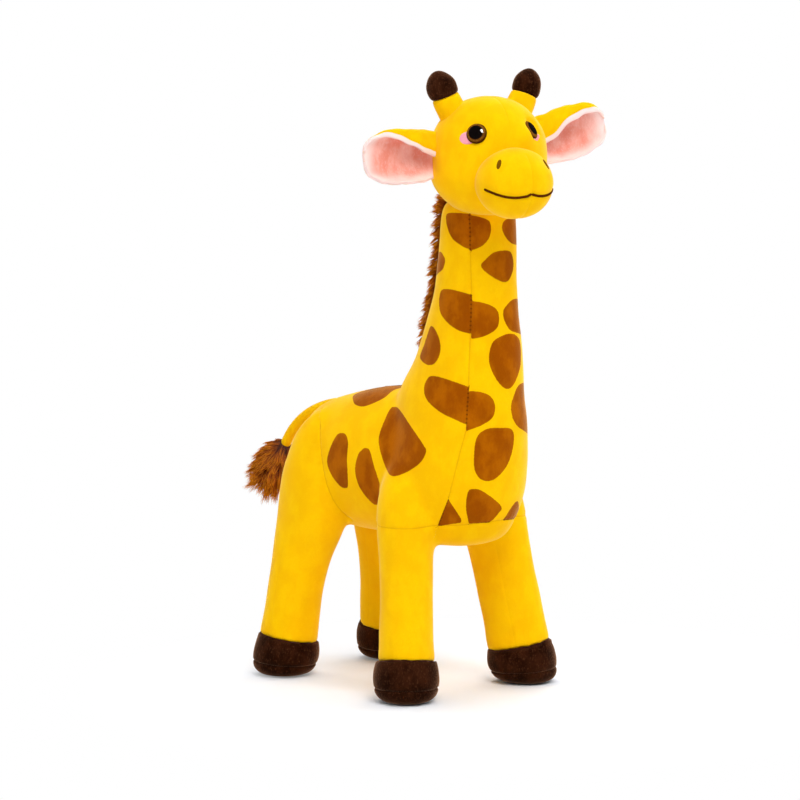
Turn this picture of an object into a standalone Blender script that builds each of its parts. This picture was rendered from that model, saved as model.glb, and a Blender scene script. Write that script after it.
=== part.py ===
# Plush giraffe, standing, with its head turned a little to its right.
# Metres. +Z is up, the giraffe faces -Y and its right side is at -X. The origin is on the
# floor, in the middle of the footprint.
import math

import bmesh
import bpy
from mathutils import Matrix, Vector

# Shared by every sewn piece
SEAM_GAP = 0.0003
SWING_GAP = 0.0006
OVERRUN = 0.010
FELT = 0.0008

# Where the body's own middle stands: the turned head carries the ears off to one side
STAND_X = 0.0054
STAND_Y = 0.0013

# Torso, whose cover runs on from the chest's and is a little narrower
CHEST_WIDTH = 0.090
CHEST_PROUD = 0.001
TORSO_LENGTH = 0.178
TORSO_WIDTH = CHEST_WIDTH - CHEST_PROUD
TORSO_DEPTH = 0.104
TORSO_FRONT_Y = -0.086
BELLY_HEIGHT = 0.102

# Chest and neck, one stuffed form that narrows to the head
CHEST_DEPTH = 0.100
CHEST_HEIGHT = 0.104
CHEST_BACK_SET = 0.056
NECK_RADIUS = 0.0255
NECK_LENGTH = 0.232
NECK_SET = 0.0785

# Legs, measured at the floor and where the leg meets the body
FRONT_STANCE = 0.0551
REAR_STANCE = 0.0500
FRONT_FEET_AHEAD = 0.0661
REAR_FEET_INSET = 0.0245
REAR_FEET_BEHIND = TORSO_FRONT_Y + TORSO_LENGTH - REAR_FEET_INSET
FRONT_LEG_HEIGHT = 0.168
REAR_LEG_HEIGHT = 0.186
LEG_LENGTH_WAYS = 0.0425
LEG_WIDTH = 0.0375
FRONT_SPLAY_OUT = 0.0225
FRONT_SPLAY_FORE = 0.0245
REAR_SPLAY_OUT = 0.0225
REAR_SPLAY_AFT = 0.0185
TOE_OUT = math.radians(40)

# Hooves and soles
HOOF_HEIGHT = 0.0260
HOOF_LENGTH_WAYS = 0.0455
HOOF_WIDTH = 0.0430
SOLE_HEIGHT = 0.0090

# Head, with its own frame on the axis that it turns about
HEAD_TURN = math.radians(-21)
HEAD_FORWARD = 0.0148
HEAD_ABOVE_NECK = 0.029
HEAD_HEIGHT = CHEST_HEIGHT + NECK_LENGTH + HEAD_ABOVE_NECK
HEAD_RADIUS = 0.0385
HEAD_CROWN = 0.0370
HEAD_JAW = 0.0420

MUZZLE_WIDTH = 0.0510
MUZZLE_DEPTH = 0.0465
MUZZLE_REACH = 0.0520
MUZZLE_FORWARD = 0.0385
MUZZLE_DROP = 0.0197
MUZZLE_SHIFT = 0.0010

# Ears
EAR_LENGTH = 0.0530
EAR_HEIGHT = 0.0320
EAR_CUP = 0.0090
EAR_CLOTH = 0.0024
EAR_LINING = 0.0014
EAR_LINING_SET = 0.0022
EAR_RIM = 0.0028
EAR_ROOT_RADIUS = 0.0021
EAR_STAND = 0.0005
EAR_ROUND = math.radians(95)
EAR_SWEEP_RIGHT = math.radians(18)
EAR_SWEEP_LEFT = math.radians(0)
EAR_RISE_RIGHT = math.radians(1)
EAR_RISE_LEFT = math.radians(19)
EAR_LIFT_RIGHT = -0.0042
EAR_LIFT_LEFT = 0.0060

# Ossicones, the two short horns
HORN_SPREAD = 0.0250
HORN_BACK = 0.0045
HORN_RADIUS = 0.0095
HORN_LEAN = 0.0074
HORN_LEAN_BACK = 0.0020
HORN_RISE = 0.0247
TIP_RADIUS = 0.0104

# Safety eyes: a dome with a ribbed shank, and the washer that locks it behind the cloth
EYE_RADIUS = 0.0066
EYE_DOME = 0.0032
EYE_RIM = 0.0008
EYE_ROUND = math.radians(32)
EYE_RISE = 0.0122
SHANK_RADIUS = 0.0022
SHANK_LENGTH = 0.0130
WASHER_RADIUS = 0.0075
WASHER_THICKNESS = 0.0016
WASHER_DEPTH = 0.0045
EYE_FIT = 0.0002
EYE_SEAT = 0.0004
RIB_DEPTH = 0.0004
RIBS = 3
DOME_STEPS = 6
BLUSH_RADIUS = 0.0078
BLUSH_DROP = 0.0030
BLUSH_OUT = 0.0042

# Stitched nostrils and mouth
NOSTRIL_LENGTH = 0.0066
NOSTRIL_WIDTH = 0.0034
NOSTRIL_ROUND = math.radians(52)
NOSTRIL_RISE = 0.0127
THREAD_RADIUS = 0.0008
MOUTH_ROUND = math.radians(76)
MOUTH_DROP = 0.0095
MOUTH_CORNER = 0.0036
MOUTH_PEAK = 0.0070

# Mane, tail and tuft
MANE_WIDTH = 0.0090
MANE_HEIGHT = 0.0065
MANE_BELOW_NECK_TOP = 0.003
MANE_TOP = CHEST_HEIGHT + NECK_LENGTH - MANE_BELOW_NECK_TOP
MANE_ABOVE_CHEST = 0.110
MANE_BOTTOM = CHEST_HEIGHT + MANE_ABOVE_CHEST
TAIL_ROOT_INSET = 0.024
TAIL_ROOT_Y = TORSO_FRONT_Y + TORSO_LENGTH - TAIL_ROOT_INSET
TAIL_BELOW_BACK = 0.0192
TAIL_ROOT_HEIGHT = BELLY_HEIGHT + TORSO_DEPTH - TAIL_BELOW_BACK
TAIL_RADIUS = 0.0038
TAIL_REACH = 0.0540
TAIL_DROP = 0.0315
TUFT_LENGTH = 0.0450
TUFT_RADIUS = 0.0160
TUFT_LEAN = math.radians(34)

# Rows of shares. A row of a form that lies along Y: place along its length, half width, bottom, top.
TORSO_SHARES = (
    (0.00, 0.10, 0.34, 0.52),
    (0.03, 0.38, 0.20, 0.68),
    (0.12, 0.70, 0.07, 0.86),
    (0.30, 0.93, 0.01, 0.985),
    (0.52, 1.00, 0.00, 0.98),
    (0.72, 0.96, 0.02, 0.918),
    (0.86, 0.82, 0.07, 0.845),
    (0.95, 0.56, 0.17, 0.72),
    (0.99, 0.28, 0.29, 0.58),
    (1.00, 0.08, 0.37, 0.49),
)
# A row of the chest and neck: height up the form, how far its width and then its depth have
# gone from the chest's size to the neck's, how full the section is, how far it has moved
# from the chest's middle to the neck's.
NECK_SHARES = (
    (0.000, 0.00, 0.00, 0.30, 0.12),
    (0.020, 0.00, 0.00, 0.62, 0.06),
    (0.070, 0.00, 0.00, 0.86, 0.02),
    (0.150, 0.00, 0.00, 0.98, 0.00),
    (0.250, 0.06, 0.00, 1.00, 0.08),
    (0.340, 0.26, 0.00, 1.00, 0.19),
    (0.435, 0.47, 0.10, 1.00, 0.28),
    (0.547, 0.72, 0.31, 1.00, 0.57),
    (0.700, 0.90, 0.69, 1.00, 0.89),
    (0.830, 0.97, 0.86, 1.00, 0.99),
    (0.930, 1.00, 1.00, 1.00, 1.00),
    (0.975, 1.00, 1.00, 0.93, 1.00),
    (1.000, 1.00, 1.00, 0.60, 1.00),
)
# A row of a leg: height, size ways of its length, size ways of its width, how far in toward
# the body it has leaned.
FRONT_LEG_SHARES = (
    (0.00, 1.00, 1.00, 0.00),
    (0.20, 0.97, 0.96, 0.20),
    (0.45, 0.99, 0.96, 0.47),
    (0.62, 1.06, 1.05, 0.66),
    (0.78, 1.16, 1.12, 0.82),
    (0.91, 1.04, 0.98, 0.94),
    (0.98, 0.62, 0.58, 0.99),
    (1.00, 0.30, 0.28, 1.00),
)
REAR_LEG_SHARES = (
    (0.00, 0.99, 1.00, 0.00),
    (0.20, 0.95, 0.98, 0.18),
    (0.38, 1.02, 1.00, 0.38),
    (0.52, 1.20, 1.04, 0.54),
    (0.68, 1.38, 1.08, 0.72),
    (0.84, 1.32, 1.02, 0.88),
    (0.94, 0.98, 0.78, 0.96),
    (0.99, 0.50, 0.42, 0.99),
    (1.00, 0.24, 0.20, 1.00),
)
# A row of a hoof: height, size.
SOLE_SHARES = ((0.00, 0.78), (0.22, 0.90), (0.60, 0.975), (1.00, 1.00))
HOOF_SHARES = ((0.00, 1.00), (0.30, 1.02), (0.62, 0.995), (0.88, 0.955), (1.00, 0.93))
# A row of the head: height from the jaw at -1 to the crown at 1, half width.
HEAD_SHARES = (
    (-1.00, 0.12),
    (-0.97, 0.34),
    (-0.88, 0.58),
    (-0.70, 0.83),
    (-0.46, 0.98),
    (-0.20, 1.00),
    (0.00, 1.00),
    (0.30, 0.955),
    (0.57, 0.83),
    (0.78, 0.645),
    (0.91, 0.44),
    (0.98, 0.22),
    (1.00, 0.08),
)
# A row of an ear: place along it, half height, depth of the cup, width of the rolled rim.
EAR_SHARES = (
    (0.00, 0.74, 0.10, 1.2),
    (0.10, 0.86, 0.40, 1.2),
    (0.27, 0.96, 0.86, 1.1),
    (0.50, 1.00, 0.90, 1.0),
    (0.74, 0.97, 0.66, 0.9),
    (0.90, 0.77, 0.40, 0.8),
    (0.97, 0.52, 0.25, 0.7),
    (1.00, 0.26, 0.15, 0.6),
)
# A row of the tuft: place along it, radius.
TUFT_SHARES = (
    (0.00, 0.34),
    (0.10, 0.62),
    (0.30, 0.92),
    (0.52, 1.00),
    (0.74, 0.90),
    (0.90, 0.58),
    (1.00, 0.20),
)
# A row of the stem or the tip of a horn: place along it, radius.
STEM_SHARES = ((0.00, 1.08), (0.45, 1.02), (0.80, 0.98), (1.00, 0.97))
TIP_SHARES = (
    (0.00, 0.90),
    (0.10, 0.98),
    (0.30, 1.00),
    (0.52, 0.96),
    (0.72, 0.80),
    (0.88, 0.54),
    (0.97, 0.28),
    (1.00, 0.10),
)
STEM_START_SHARE = -0.28
TIP_START_SHARE = 0.32
AXIS_STEP_SHARE = 0.02
RIB_PITCH_SHARE = 0.16
EAR_TIP_INSET_SHARE = 0.6
TAIL_SAG_SHARE = 0.42
TUFT_SEAT_SHARE = 0.5
MANE_FULL_SHARE = 0.6
MOUTH_START_SHARE = 0.03
MOUTH_PEAK_SHARE = 0.8
ROUND_SIDES = 24
LIMB_SIDES = 20
SMALL_SIDES = 16
TUBE_SIDES = 12
EAR_STEPS = 8
MANE_STEPS = 16
MANE_TAPER = 8
TAIL_STEPS = 12
CAP_STEPS = 3
MOUTH_STEPS = 10
EASED_STEPS = 2

# Corners sharper than this stay crisp, and the rest is shaded smooth
SHARP_EDGE = math.radians(50)


def clear_scene():
    for thing in list(bpy.data.objects):
        bpy.data.objects.remove(thing)


def collection(name):
    group = bpy.data.collections.new(name)
    bpy.context.scene.collection.children.link(group)
    return group


def plush(name, colour, roughness=0.95):
    material = bpy.data.materials.new(name)
    material.use_nodes = True
    shader = material.node_tree.nodes["Principled BSDF"]
    shader.inputs["Base Color"].default_value = (*colour, 1.0)
    shader.inputs["Roughness"].default_value = roughness
    shader.inputs["Metallic"].default_value = 0.0
    return material


def add_object(name, bm, material, group):
    bmesh.ops.recalc_face_normals(bm, faces=bm.faces)
    mesh = bpy.data.meshes.new(name)
    bm.to_mesh(mesh)
    bm.free()
    mesh.materials.append(material)
    mesh.shade_smooth()
    mesh.set_sharp_from_angle(angle=SHARP_EDGE)
    item = bpy.data.objects.new(name, mesh)
    group.objects.link(item)
    return item


def eased(rows, steps):
    """The rows of a table with smooth rows put between them."""
    rows = [Vector(row) for row in rows]
    last = len(rows) - 1
    result = []
    for index in range(last):
        before = rows[max(index - 1, 0)]
        start = rows[index]
        end = rows[index + 1]
        after = rows[min(index + 2, last)]
        for step in range(steps):
            t = step / steps
            bend = (end - before) * (t - 2 * t**2 + t**3) + (after - start) * (t**3 - t**2)
            result.append(start.lerp(end, 3 * t**2 - 2 * t**3) + bend * 0.5)
    result.append(rows[last])
    return result


def oval(centre, across, along, sides):
    """A ring of points round a centre; across and along are its two half sizes as vectors."""
    turns = [2 * math.pi * side / sides for side in range(sides)]
    return [centre + across * math.cos(turn) + along * math.sin(turn) for turn in turns]


def loft(name, rings, material, group):
    """A closed stuffed form through a row of rings."""
    bm = bmesh.new()
    loops = [[bm.verts.new(point) for point in ring] for ring in rings]
    sides = len(rings[0])
    for low, high in zip(loops, loops[1:]):
        for side in range(sides):
            following = (side + 1) % sides
            bm.faces.new((low[side], low[following], high[following], high[side]))
    bm.faces.new(reversed(loops[0]))
    bm.faces.new(loops[-1])
    return add_object(name, bm, material, group)


def turned(name, profile, sides, material, group):
    """A solid turned about Z from a profile of (radius, height) that starts and ends on Z."""
    bm = bmesh.new()
    corners = [bm.verts.new((radius, 0, height)) for radius, height in profile]
    edges = [bm.edges.new(pair) for pair in zip(corners, corners[1:])]
    bmesh.ops.spin(
        bm,
        geom=corners + edges,
        cent=(0, 0, 0),
        axis=(0, 0, 1),
        angle=2 * math.pi,
        steps=sides,
        use_merge=True,
    )
    bmesh.ops.remove_doubles(bm, verts=bm.verts, dist=SEAM_GAP / 10)
    return add_object(name, bm, material, group)


def cut(target, cutters):
    for cutter in cutters:
        modifier = target.modifiers.new("cut_by_" + cutter.name, "BOOLEAN")
        modifier.operation = "DIFFERENCE"
        modifier.object = cutter


def settle(item):
    """Replaces an object's mesh by the one that its modifiers give."""
    bpy.context.view_layer.update()
    graph = bpy.context.evaluated_depsgraph_get()
    mesh = bpy.data.meshes.new_from_object(item.evaluated_get(graph))
    item.modifiers.clear()
    item.data = mesh


def make_cutter(item):
    item.hide_render = True
    item.display_type = "WIRE"
    return item


def swing_room(name, centre, material, group):
    """A round hollow about a joint, in which an end of the tail turns freely."""
    bm = bmesh.new()
    radius = TAIL_RADIUS + SWING_GAP
    bmesh.ops.create_uvsphere(bm, u_segments=ROUND_SIDES, v_segments=SMALL_SIDES, radius=radius)
    bmesh.ops.translate(bm, vec=centre, verts=bm.verts)
    return make_cutter(add_object(name, bm, material, group))


def torso_rings(grow):
    rings = []
    rows = eased(TORSO_SHARES, EASED_STEPS)
    for index, (along, wide, bottom, top) in enumerate(rows):
        end = {0: -grow, len(rows) - 1: grow}.get(index, 0)
        centre = Vector((0, TORSO_FRONT_Y + along * TORSO_LENGTH + end, 0))
        centre.z = BELLY_HEIGHT + TORSO_DEPTH * (bottom + top) / 2
        across = Vector((TORSO_WIDTH / 2 * wide + grow, 0, 0))
        up = Vector((0, 0, TORSO_DEPTH * (top - bottom) / 2 + grow))
        rings.append(oval(centre, across, up, ROUND_SIDES))
    return rings


def neck_rings(grow):
    rings = []
    rows = eased(NECK_SHARES, EASED_STEPS)
    for index, (height, narrow, slim, full, back) in enumerate(rows):
        end = {0: -grow, len(rows) - 1: grow}.get(index, 0)
        centre = Vector((0, 0, CHEST_HEIGHT + height * NECK_LENGTH + end))
        centre.y = -(CHEST_BACK_SET + back * (NECK_SET - CHEST_BACK_SET))
        wide = (CHEST_WIDTH / 2 + narrow * (NECK_RADIUS - CHEST_WIDTH / 2)) * full + grow
        deep = (CHEST_DEPTH / 2 + slim * (NECK_RADIUS - CHEST_DEPTH / 2)) * full + grow
        rings.append(oval(centre, Vector((wide, 0, 0)), Vector((0, deep, 0)), ROUND_SIDES))
    return rings


def leg_frame(side, front):
    """Where a foot stands, how far its leg leans by its top, and its two directions."""
    if front:
        foot = Vector((side * FRONT_STANCE, -FRONT_FEET_AHEAD, 0))
        lean = Vector((-side * FRONT_SPLAY_OUT, FRONT_SPLAY_FORE, 0))
        turn = side * TOE_OUT
    else:
        foot = Vector((side * REAR_STANCE, REAR_FEET_BEHIND, 0))
        lean = Vector((-side * REAR_SPLAY_OUT, -REAR_SPLAY_AFT, 0))
        turn = 0
    ahead = Vector((math.sin(turn), -math.cos(turn), 0))
    return foot, lean, ahead, Vector((-ahead.y, ahead.x, 0))


def leg_rings(side, front, grow=0):
    foot, lean, ahead, sideways = leg_frame(side, front)
    shares = FRONT_LEG_SHARES if front else REAR_LEG_SHARES
    top = FRONT_LEG_HEIGHT if front else REAR_LEG_HEIGHT
    start = HOOF_HEIGHT + SEAM_GAP
    rings = []
    for height, long, wide, leaned in eased(shares, EASED_STEPS):
        # The seam with the hoof lies square to the leg, so the rings tilt less higher up.
        centre = foot + lean * (leaned * (1 - start / top) + start / top)
        centre.z = start + height * (top - start)
        reach = ahead * (LEG_LENGTH_WAYS / 2 * long + grow)
        breadth = sideways * (LEG_WIDTH / 2 * wide + grow)
        for half in (reach, breadth):
            half.z = -half.dot(lean) / top
        rings.append(oval(centre, reach, breadth, LIMB_SIDES))
    return rings


def foot_rings(side, front, low, high, shares):
    """Rings of a sole or a hoof, which turn from level on the floor to square to the leg."""
    foot, lean, ahead, sideways = leg_frame(side, front)
    top = FRONT_LEG_HEIGHT if front else REAR_LEG_HEIGHT
    rings = []
    for height, size in shares:
        level = low + height * (high - low)
        centre = foot + lean * (level / top)
        centre.z = level
        reach = ahead * (HOOF_LENGTH_WAYS / 2 * size)
        breadth = sideways * (HOOF_WIDTH / 2 * size)
        for half in (reach, breadth):
            half.z = -half.dot(lean) / top * level / HOOF_HEIGHT
        rings.append(oval(centre, reach, breadth, LIMB_SIDES))
    return rings


def head_rings(grow):
    rings = []
    rows = eased(HEAD_SHARES, EASED_STEPS)
    for index, (height, full) in enumerate(rows):
        end = {0: -grow, len(rows) - 1: grow}.get(index, 0)
        reach = HEAD_CROWN if height > 0 else HEAD_JAW
        centre = Vector((0, -HEAD_FORWARD, height * reach + end))
        half = HEAD_RADIUS * full + grow
        rings.append(oval(centre, Vector((half, 0, 0)), Vector((0, half, 0)), ROUND_SIDES))
    return rings


def muzzle_centre():
    return Vector((MUZZLE_SHIFT, -HEAD_FORWARD - MUZZLE_FORWARD, -MUZZLE_DROP))


def muzzle_halves(grow):
    return Vector((MUZZLE_WIDTH, MUZZLE_REACH, MUZZLE_DEPTH)) / 2 + Vector((grow, grow, grow))


def muzzle_ball(name, grow, material, group):
    bm = bmesh.new()
    bmesh.ops.create_uvsphere(bm, u_segments=ROUND_SIDES, v_segments=SMALL_SIDES, radius=1)
    bmesh.ops.scale(bm, vec=muzzle_halves(grow), verts=bm.verts)
    bmesh.ops.translate(bm, vec=muzzle_centre(), verts=bm.verts)
    return add_object(name, bm, material, group)


def on_muzzle(turn, height, lift):
    """A point on the muzzle, turned so far round from its front, and up from its middle."""
    half = muzzle_halves(lift)
    reach = math.sqrt(1 - (height / half.z) ** 2)
    away = Vector((math.sin(turn) * half.x * reach, -math.cos(turn) * half.y * reach, height))
    return muzzle_centre() + away


def aim(point, outward, roll_to=Vector((0, 0, 1))):
    """A matrix that takes local +Z to the outward direction at a point, and +Y nearly up."""
    ahead = outward.normalized()
    sideways = roll_to.cross(ahead).normalized()
    upward = ahead.cross(sideways)
    turn = Matrix((sideways, upward, ahead)).transposed()
    return Matrix.Translation(point) @ turn.to_4x4()


def eye_place(side):
    """The eye's place on the head: local +Z points out of the head."""
    outward = Vector((side * math.sin(EYE_ROUND), -math.cos(EYE_ROUND), 0))
    level = math.sqrt(HEAD_RADIUS**2 - EYE_RISE**2)
    point = Vector((0, -HEAD_FORWARD, EYE_RISE)) + outward * level
    outward.z = EYE_RISE / level
    return aim(point, outward)


def eye_profile(grow=0):
    """From the end of the shank, over its ribs and the back of the dome, to the front."""
    points = [(0, -SHANK_LENGTH - grow), (SHANK_RADIUS + grow, -SHANK_LENGTH - grow)]
    if not grow:
        rib = SHANK_LENGTH * RIB_PITCH_SHARE
        for index in range(RIBS):
            low = -SHANK_LENGTH + rib * (index + 1)
            points.append((SHANK_RADIUS, low - rib / 2))
            points.append((SHANK_RADIUS - RIB_DEPTH, low - rib / 4))
            points.append((SHANK_RADIUS, low))
    seat = EYE_SEAT - grow
    points.append((SHANK_RADIUS + grow, seat))
    points.append((EYE_RADIUS + grow, seat))
    for step in range(DOME_STEPS + 1):
        turn = math.pi / 2 * step / DOME_STEPS
        radius = (EYE_RADIUS + grow) * math.cos(turn)
        height = EYE_SEAT + EYE_RIM + (EYE_DOME + grow) * math.sin(turn)
        points.append((radius, height))
    points[-1] = (0, points[-1][1])
    return points


def round_disc(radius, low, high):
    return [(0, low), (radius, low), (radius, high), (0, high)]


def horn_axis(side, share):
    lean = HORN_LEAN * (1 - (1 - share) ** 2)
    base = math.sqrt(HEAD_RADIUS**2 - HORN_SPREAD**2 - HORN_BACK**2)
    across = side * (HORN_SPREAD + lean)
    back = HORN_BACK + HORN_LEAN_BACK * share
    return Vector((across, back - HEAD_FORWARD, base + HORN_RISE * share))


def horn_rings(side, start, end, rows, radius, gap_below):
    """Rings square to the horn's bent axis, from one share of its height to another."""
    rings = []
    for along, full in rows:
        share = start + (end - start) * along
        centre = horn_axis(side, share)
        ahead = (horn_axis(side, share + AXIS_STEP_SHARE) - centre).normalized()
        centre = centre + ahead * gap_below * (1 - along)
        across = Vector((ahead.z, 0, -ahead.x)) * radius * full
        rings.append(oval(centre, across, Vector((0, radius * full, 0)), SMALL_SIDES))
    return rings


def ear_sheet(name, side, inset, front, thickness, material, group):
    """One cupped layer of an ear. Local +X runs out along the ear, side by side with +Z up,
    and the cup opens to the front. Front is how far the layer lies before the back one."""
    bm = bmesh.new()
    columns = []
    for along, tall, cup, rim in eased(EAR_SHARES, EASED_STEPS):
        reach = inset + (EAR_LENGTH - inset * (1 + EAR_TIP_INSET_SHARE)) * along
        half = EAR_HEIGHT / 2 * tall - inset * rim
        column = []
        for step in range(EAR_STEPS + 1):
            across = 2 * step / EAR_STEPS - 1
            deep = EAR_CUP * cup * (1 - across**2) - front
            column.append(bm.verts.new((side * reach, deep, half * across)))
        columns.append(column)
    for near, far in zip(columns, columns[1:]):
        for step in range(EAR_STEPS):
            corners = [near[step], far[step], far[step + 1], near[step + 1]]
            bm.faces.new(corners if side < 0 else reversed(corners))
    mesh = bpy.data.meshes.new(name)
    bm.to_mesh(mesh)
    bm.free()
    mesh.materials.append(material)
    item = bpy.data.objects.new(name, mesh)
    group.objects.link(item)
    solid = item.modifiers.new("cloth", "SOLIDIFY")
    solid.thickness = thickness
    solid.offset = 1
    settle(item)
    item.data.shade_smooth()
    item.data.set_sharp_from_angle(angle=SHARP_EDGE)
    return item


def ear_place(side):
    """The ear's root on the head: local +X or -X runs out along the ear."""
    outward = Vector((side * math.sin(EAR_ROUND), -math.cos(EAR_ROUND), 0))
    rise = EAR_RISE_LEFT if side > 0 else EAR_RISE_RIGHT
    lift = EAR_LIFT_LEFT if side > 0 else EAR_LIFT_RIGHT
    stand = HEAD_RADIUS + EAR_ROOT_RADIUS + EAR_STAND
    level = math.sqrt(stand**2 - lift**2)
    point = Vector((0, -HEAD_FORWARD, lift)) + outward * level
    sweep = EAR_SWEEP_LEFT if side > 0 else EAR_SWEEP_RIGHT
    spin = Matrix.Rotation(side * (EAR_ROUND - sweep - math.pi / 2), 4, "Z")
    tip_up = Matrix.Rotation(-side * rise, 4, "Y")
    return Matrix.Translation(point) @ spin @ tip_up


def neck_back(height):
    """Where the back of the neck lies at a height, and how far it leans there."""
    points = [ring[ROUND_SIDES // 4] for ring in neck_rings(0)]
    for low, high in zip(points, points[1:]):
        if low.z <= height <= high.z:
            return low.lerp(high, (height - low.z) / (high.z - low.z))
    return points[-1]


def mane_rings():
    rings = []
    for step in range(MANE_STEPS + 1):
        along = step / MANE_STEPS
        taper = min(1, MANE_TAPER * along, MANE_TAPER * (1 - along)) * MANE_FULL_SHARE
        taper += 1 - MANE_FULL_SHARE
        root = neck_back(MANE_BOTTOM + (MANE_TOP - MANE_BOTTOM) * along)
        out = Vector((0, MANE_HEIGHT * taper, 0))
        rings.append(oval(root, Vector((MANE_WIDTH / 2, 0, 0)), out, TUBE_SIDES))
    return rings


def tail_path(share):
    """The tail's middle line from its root, leaving almost level and then falling."""
    along = TAIL_REACH * (share * (1 + TAIL_SAG_SHARE) - TAIL_SAG_SHARE * share**2)
    fall = TAIL_DROP * (share * TAIL_SAG_SHARE + (1 - TAIL_SAG_SHARE) * share**2)
    return Vector((0, TAIL_ROOT_Y + along, TAIL_ROOT_HEIGHT - fall))


def tail_rings(grow):
    """A tube with round ends, so that each end turns in its seat."""
    radius = TAIL_RADIUS + grow
    quarter = [math.pi / 2 * step / CAP_STEPS for step in range(1, CAP_STEPS + 1)]
    places = [(0, -math.cos(turn), math.sin(turn)) for turn in quarter]
    places += [(step / TAIL_STEPS, 0, 1) for step in range(1, TAIL_STEPS)]
    places += [(1, math.cos(turn), math.sin(turn)) for turn in reversed(quarter)]
    rings = []
    for share, beyond, full in places:
        ahead = tail_path(share + AXIS_STEP_SHARE) - tail_path(share - AXIS_STEP_SHARE)
        ahead.normalize()
        square = Vector((0, -ahead.z, ahead.y))
        centre = tail_path(share) + ahead * beyond * radius
        across = Vector((radius * full, 0, 0))
        rings.append(oval(centre, across, square * radius * full, TUBE_SIDES))
    return rings


def tuft_rings():
    """The tuft hangs from the round end of the tail, which its top leaves free to swing."""
    down = Vector((0, math.sin(TUFT_LEAN), -math.cos(TUFT_LEAN)))
    square = Vector((0, math.cos(TUFT_LEAN), math.sin(TUFT_LEAN)))
    top = tail_path(1) + down * TAIL_RADIUS * TUFT_SEAT_SHARE
    rings = []
    for along, full in eased(TUFT_SHARES, EASED_STEPS):
        centre = top + down * TUFT_LENGTH * along
        across = Vector((TUFT_RADIUS * full, 0, 0))
        rings.append(oval(centre, across, square * TUFT_RADIUS * full, SMALL_SIDES))
    return rings


def make_body(parts, cutters, yellow, brown, fur):
    torso_cutter = make_cutter(loft("torso_cutter", torso_rings(SEAM_GAP), yellow, cutters))
    neck_cutter = make_cutter(loft("neck_cutter", neck_rings(SEAM_GAP), yellow, cutters))
    tail_cutter = make_cutter(loft("tail_cutter", tail_rings(SEAM_GAP), yellow, cutters))
    torso = loft("torso", torso_rings(0), yellow, parts)
    cut(torso, [tail_cutter, swing_room("tail_root_room", tail_path(0), yellow, cutters)])
    neck = loft("neck", neck_rings(0), yellow, parts)
    cut(neck, [torso_cutter])
    for side, hand in ((-1, "right"), (1, "left")):
        for front, end in ((True, "front"), (False, "rear")):
            leg = loft(f"{end}_leg_{hand}", leg_rings(side, front), yellow, parts)
            cut(leg, [torso_cutter] + [neck_cutter] * front)
            top = HOOF_HEIGHT
            hoof = foot_rings(side, front, SOLE_HEIGHT + SEAM_GAP, top, HOOF_SHARES)
            loft(f"{end}_hoof_{hand}", hoof, brown, parts)
            sole = foot_rings(side, front, 0, SOLE_HEIGHT, SOLE_SHARES)
            loft(f"{end}_sole_{hand}", sole, brown, parts)
    mane = loft("mane", mane_rings(), fur, parts)
    cut(mane, [neck_cutter])
    return neck_cutter


def make_tail(parts, cutters, yellow, fur):
    tail = loft("tail", tail_rings(0), yellow, parts)
    tuft = loft("tail_tuft", tuft_rings(), fur, parts)
    tail_end = make_cutter(loft("tail_end_cutter", tail_rings(SEAM_GAP), fur, cutters))
    cut(tuft, [tail_end, swing_room("tail_end_room", tail_path(1), fur, cutters)])
    settle(tuft)
    root = axis_empty("tail_lift", Matrix.Translation(tail_path(0)), parts)
    end = axis_empty("tuft_swing", Matrix.Translation(tail_path(1)), parts)
    ride(tail, root)
    ride(end, root)
    ride(tuft, end)


def axis_empty(name, place, group):
    empty = bpy.data.objects.new(name, None)
    empty.empty_display_size = HEAD_RADIUS
    empty.matrix_world = place
    group.objects.link(empty)
    return empty


def ride(child, parent):
    """Parents without moving the child."""
    bpy.context.view_layer.update()
    child.parent = parent
    child.matrix_parent_inverse = parent.matrix_world.inverted()


def make_eye(side, hand, head, parts, cutters, materials):
    place = eye_place(side)
    eye = turned(f"eye_{hand}", eye_profile(), SMALL_SIDES, materials["eye"], parts)
    eye.matrix_world = place
    low = -WASHER_DEPTH - WASHER_THICKNESS
    ring = [
        (SHANK_RADIUS + EYE_FIT, low),
        (WASHER_RADIUS, low),
        (WASHER_RADIUS, -WASHER_DEPTH),
        (SHANK_RADIUS + EYE_FIT, -WASHER_DEPTH),
    ]
    washer = turned(f"eye_washer_{hand}", ring + ring[:1], SMALL_SIDES, materials["washer"], parts)
    washer.matrix_world = place
    profile = round_disc(WASHER_RADIUS + SEAM_GAP, low - SEAM_GAP, SEAM_GAP - WASHER_DEPTH)
    pocket = turned(f"washer_pocket_{hand}", profile, SMALL_SIDES, materials["washer"], cutters)
    seat = turned(f"eye_seat_{hand}", eye_profile(SEAM_GAP), SMALL_SIDES, materials["washer"], cutters)
    for tool in (pocket, seat):
        tool.matrix_world = place
        make_cutter(tool)
    cut(head, [pocket, seat])

    # The pink blush is a thin patch that shows past the lower outer edge of the eye.
    middle = place @ Vector((side * BLUSH_OUT, -BLUSH_DROP, 0))
    profile = round_disc(BLUSH_RADIUS, -OVERRUN, OVERRUN)
    blush = turned(f"blush_patch_{hand}", profile, ROUND_SIDES, materials["blush"], parts)
    blush.matrix_world = Matrix.Translation(middle) @ place.to_3x3().to_4x4()
    return [eye, washer, blush, pocket, seat]


def patch(item, over, under, around):
    """Keeps of an item only the thin layer between two grown copies of what it lies on."""
    keep = item.modifiers.new("layer", "BOOLEAN")
    keep.operation = "INTERSECT"
    keep.object = over
    cut(item, [under] + around)


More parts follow.
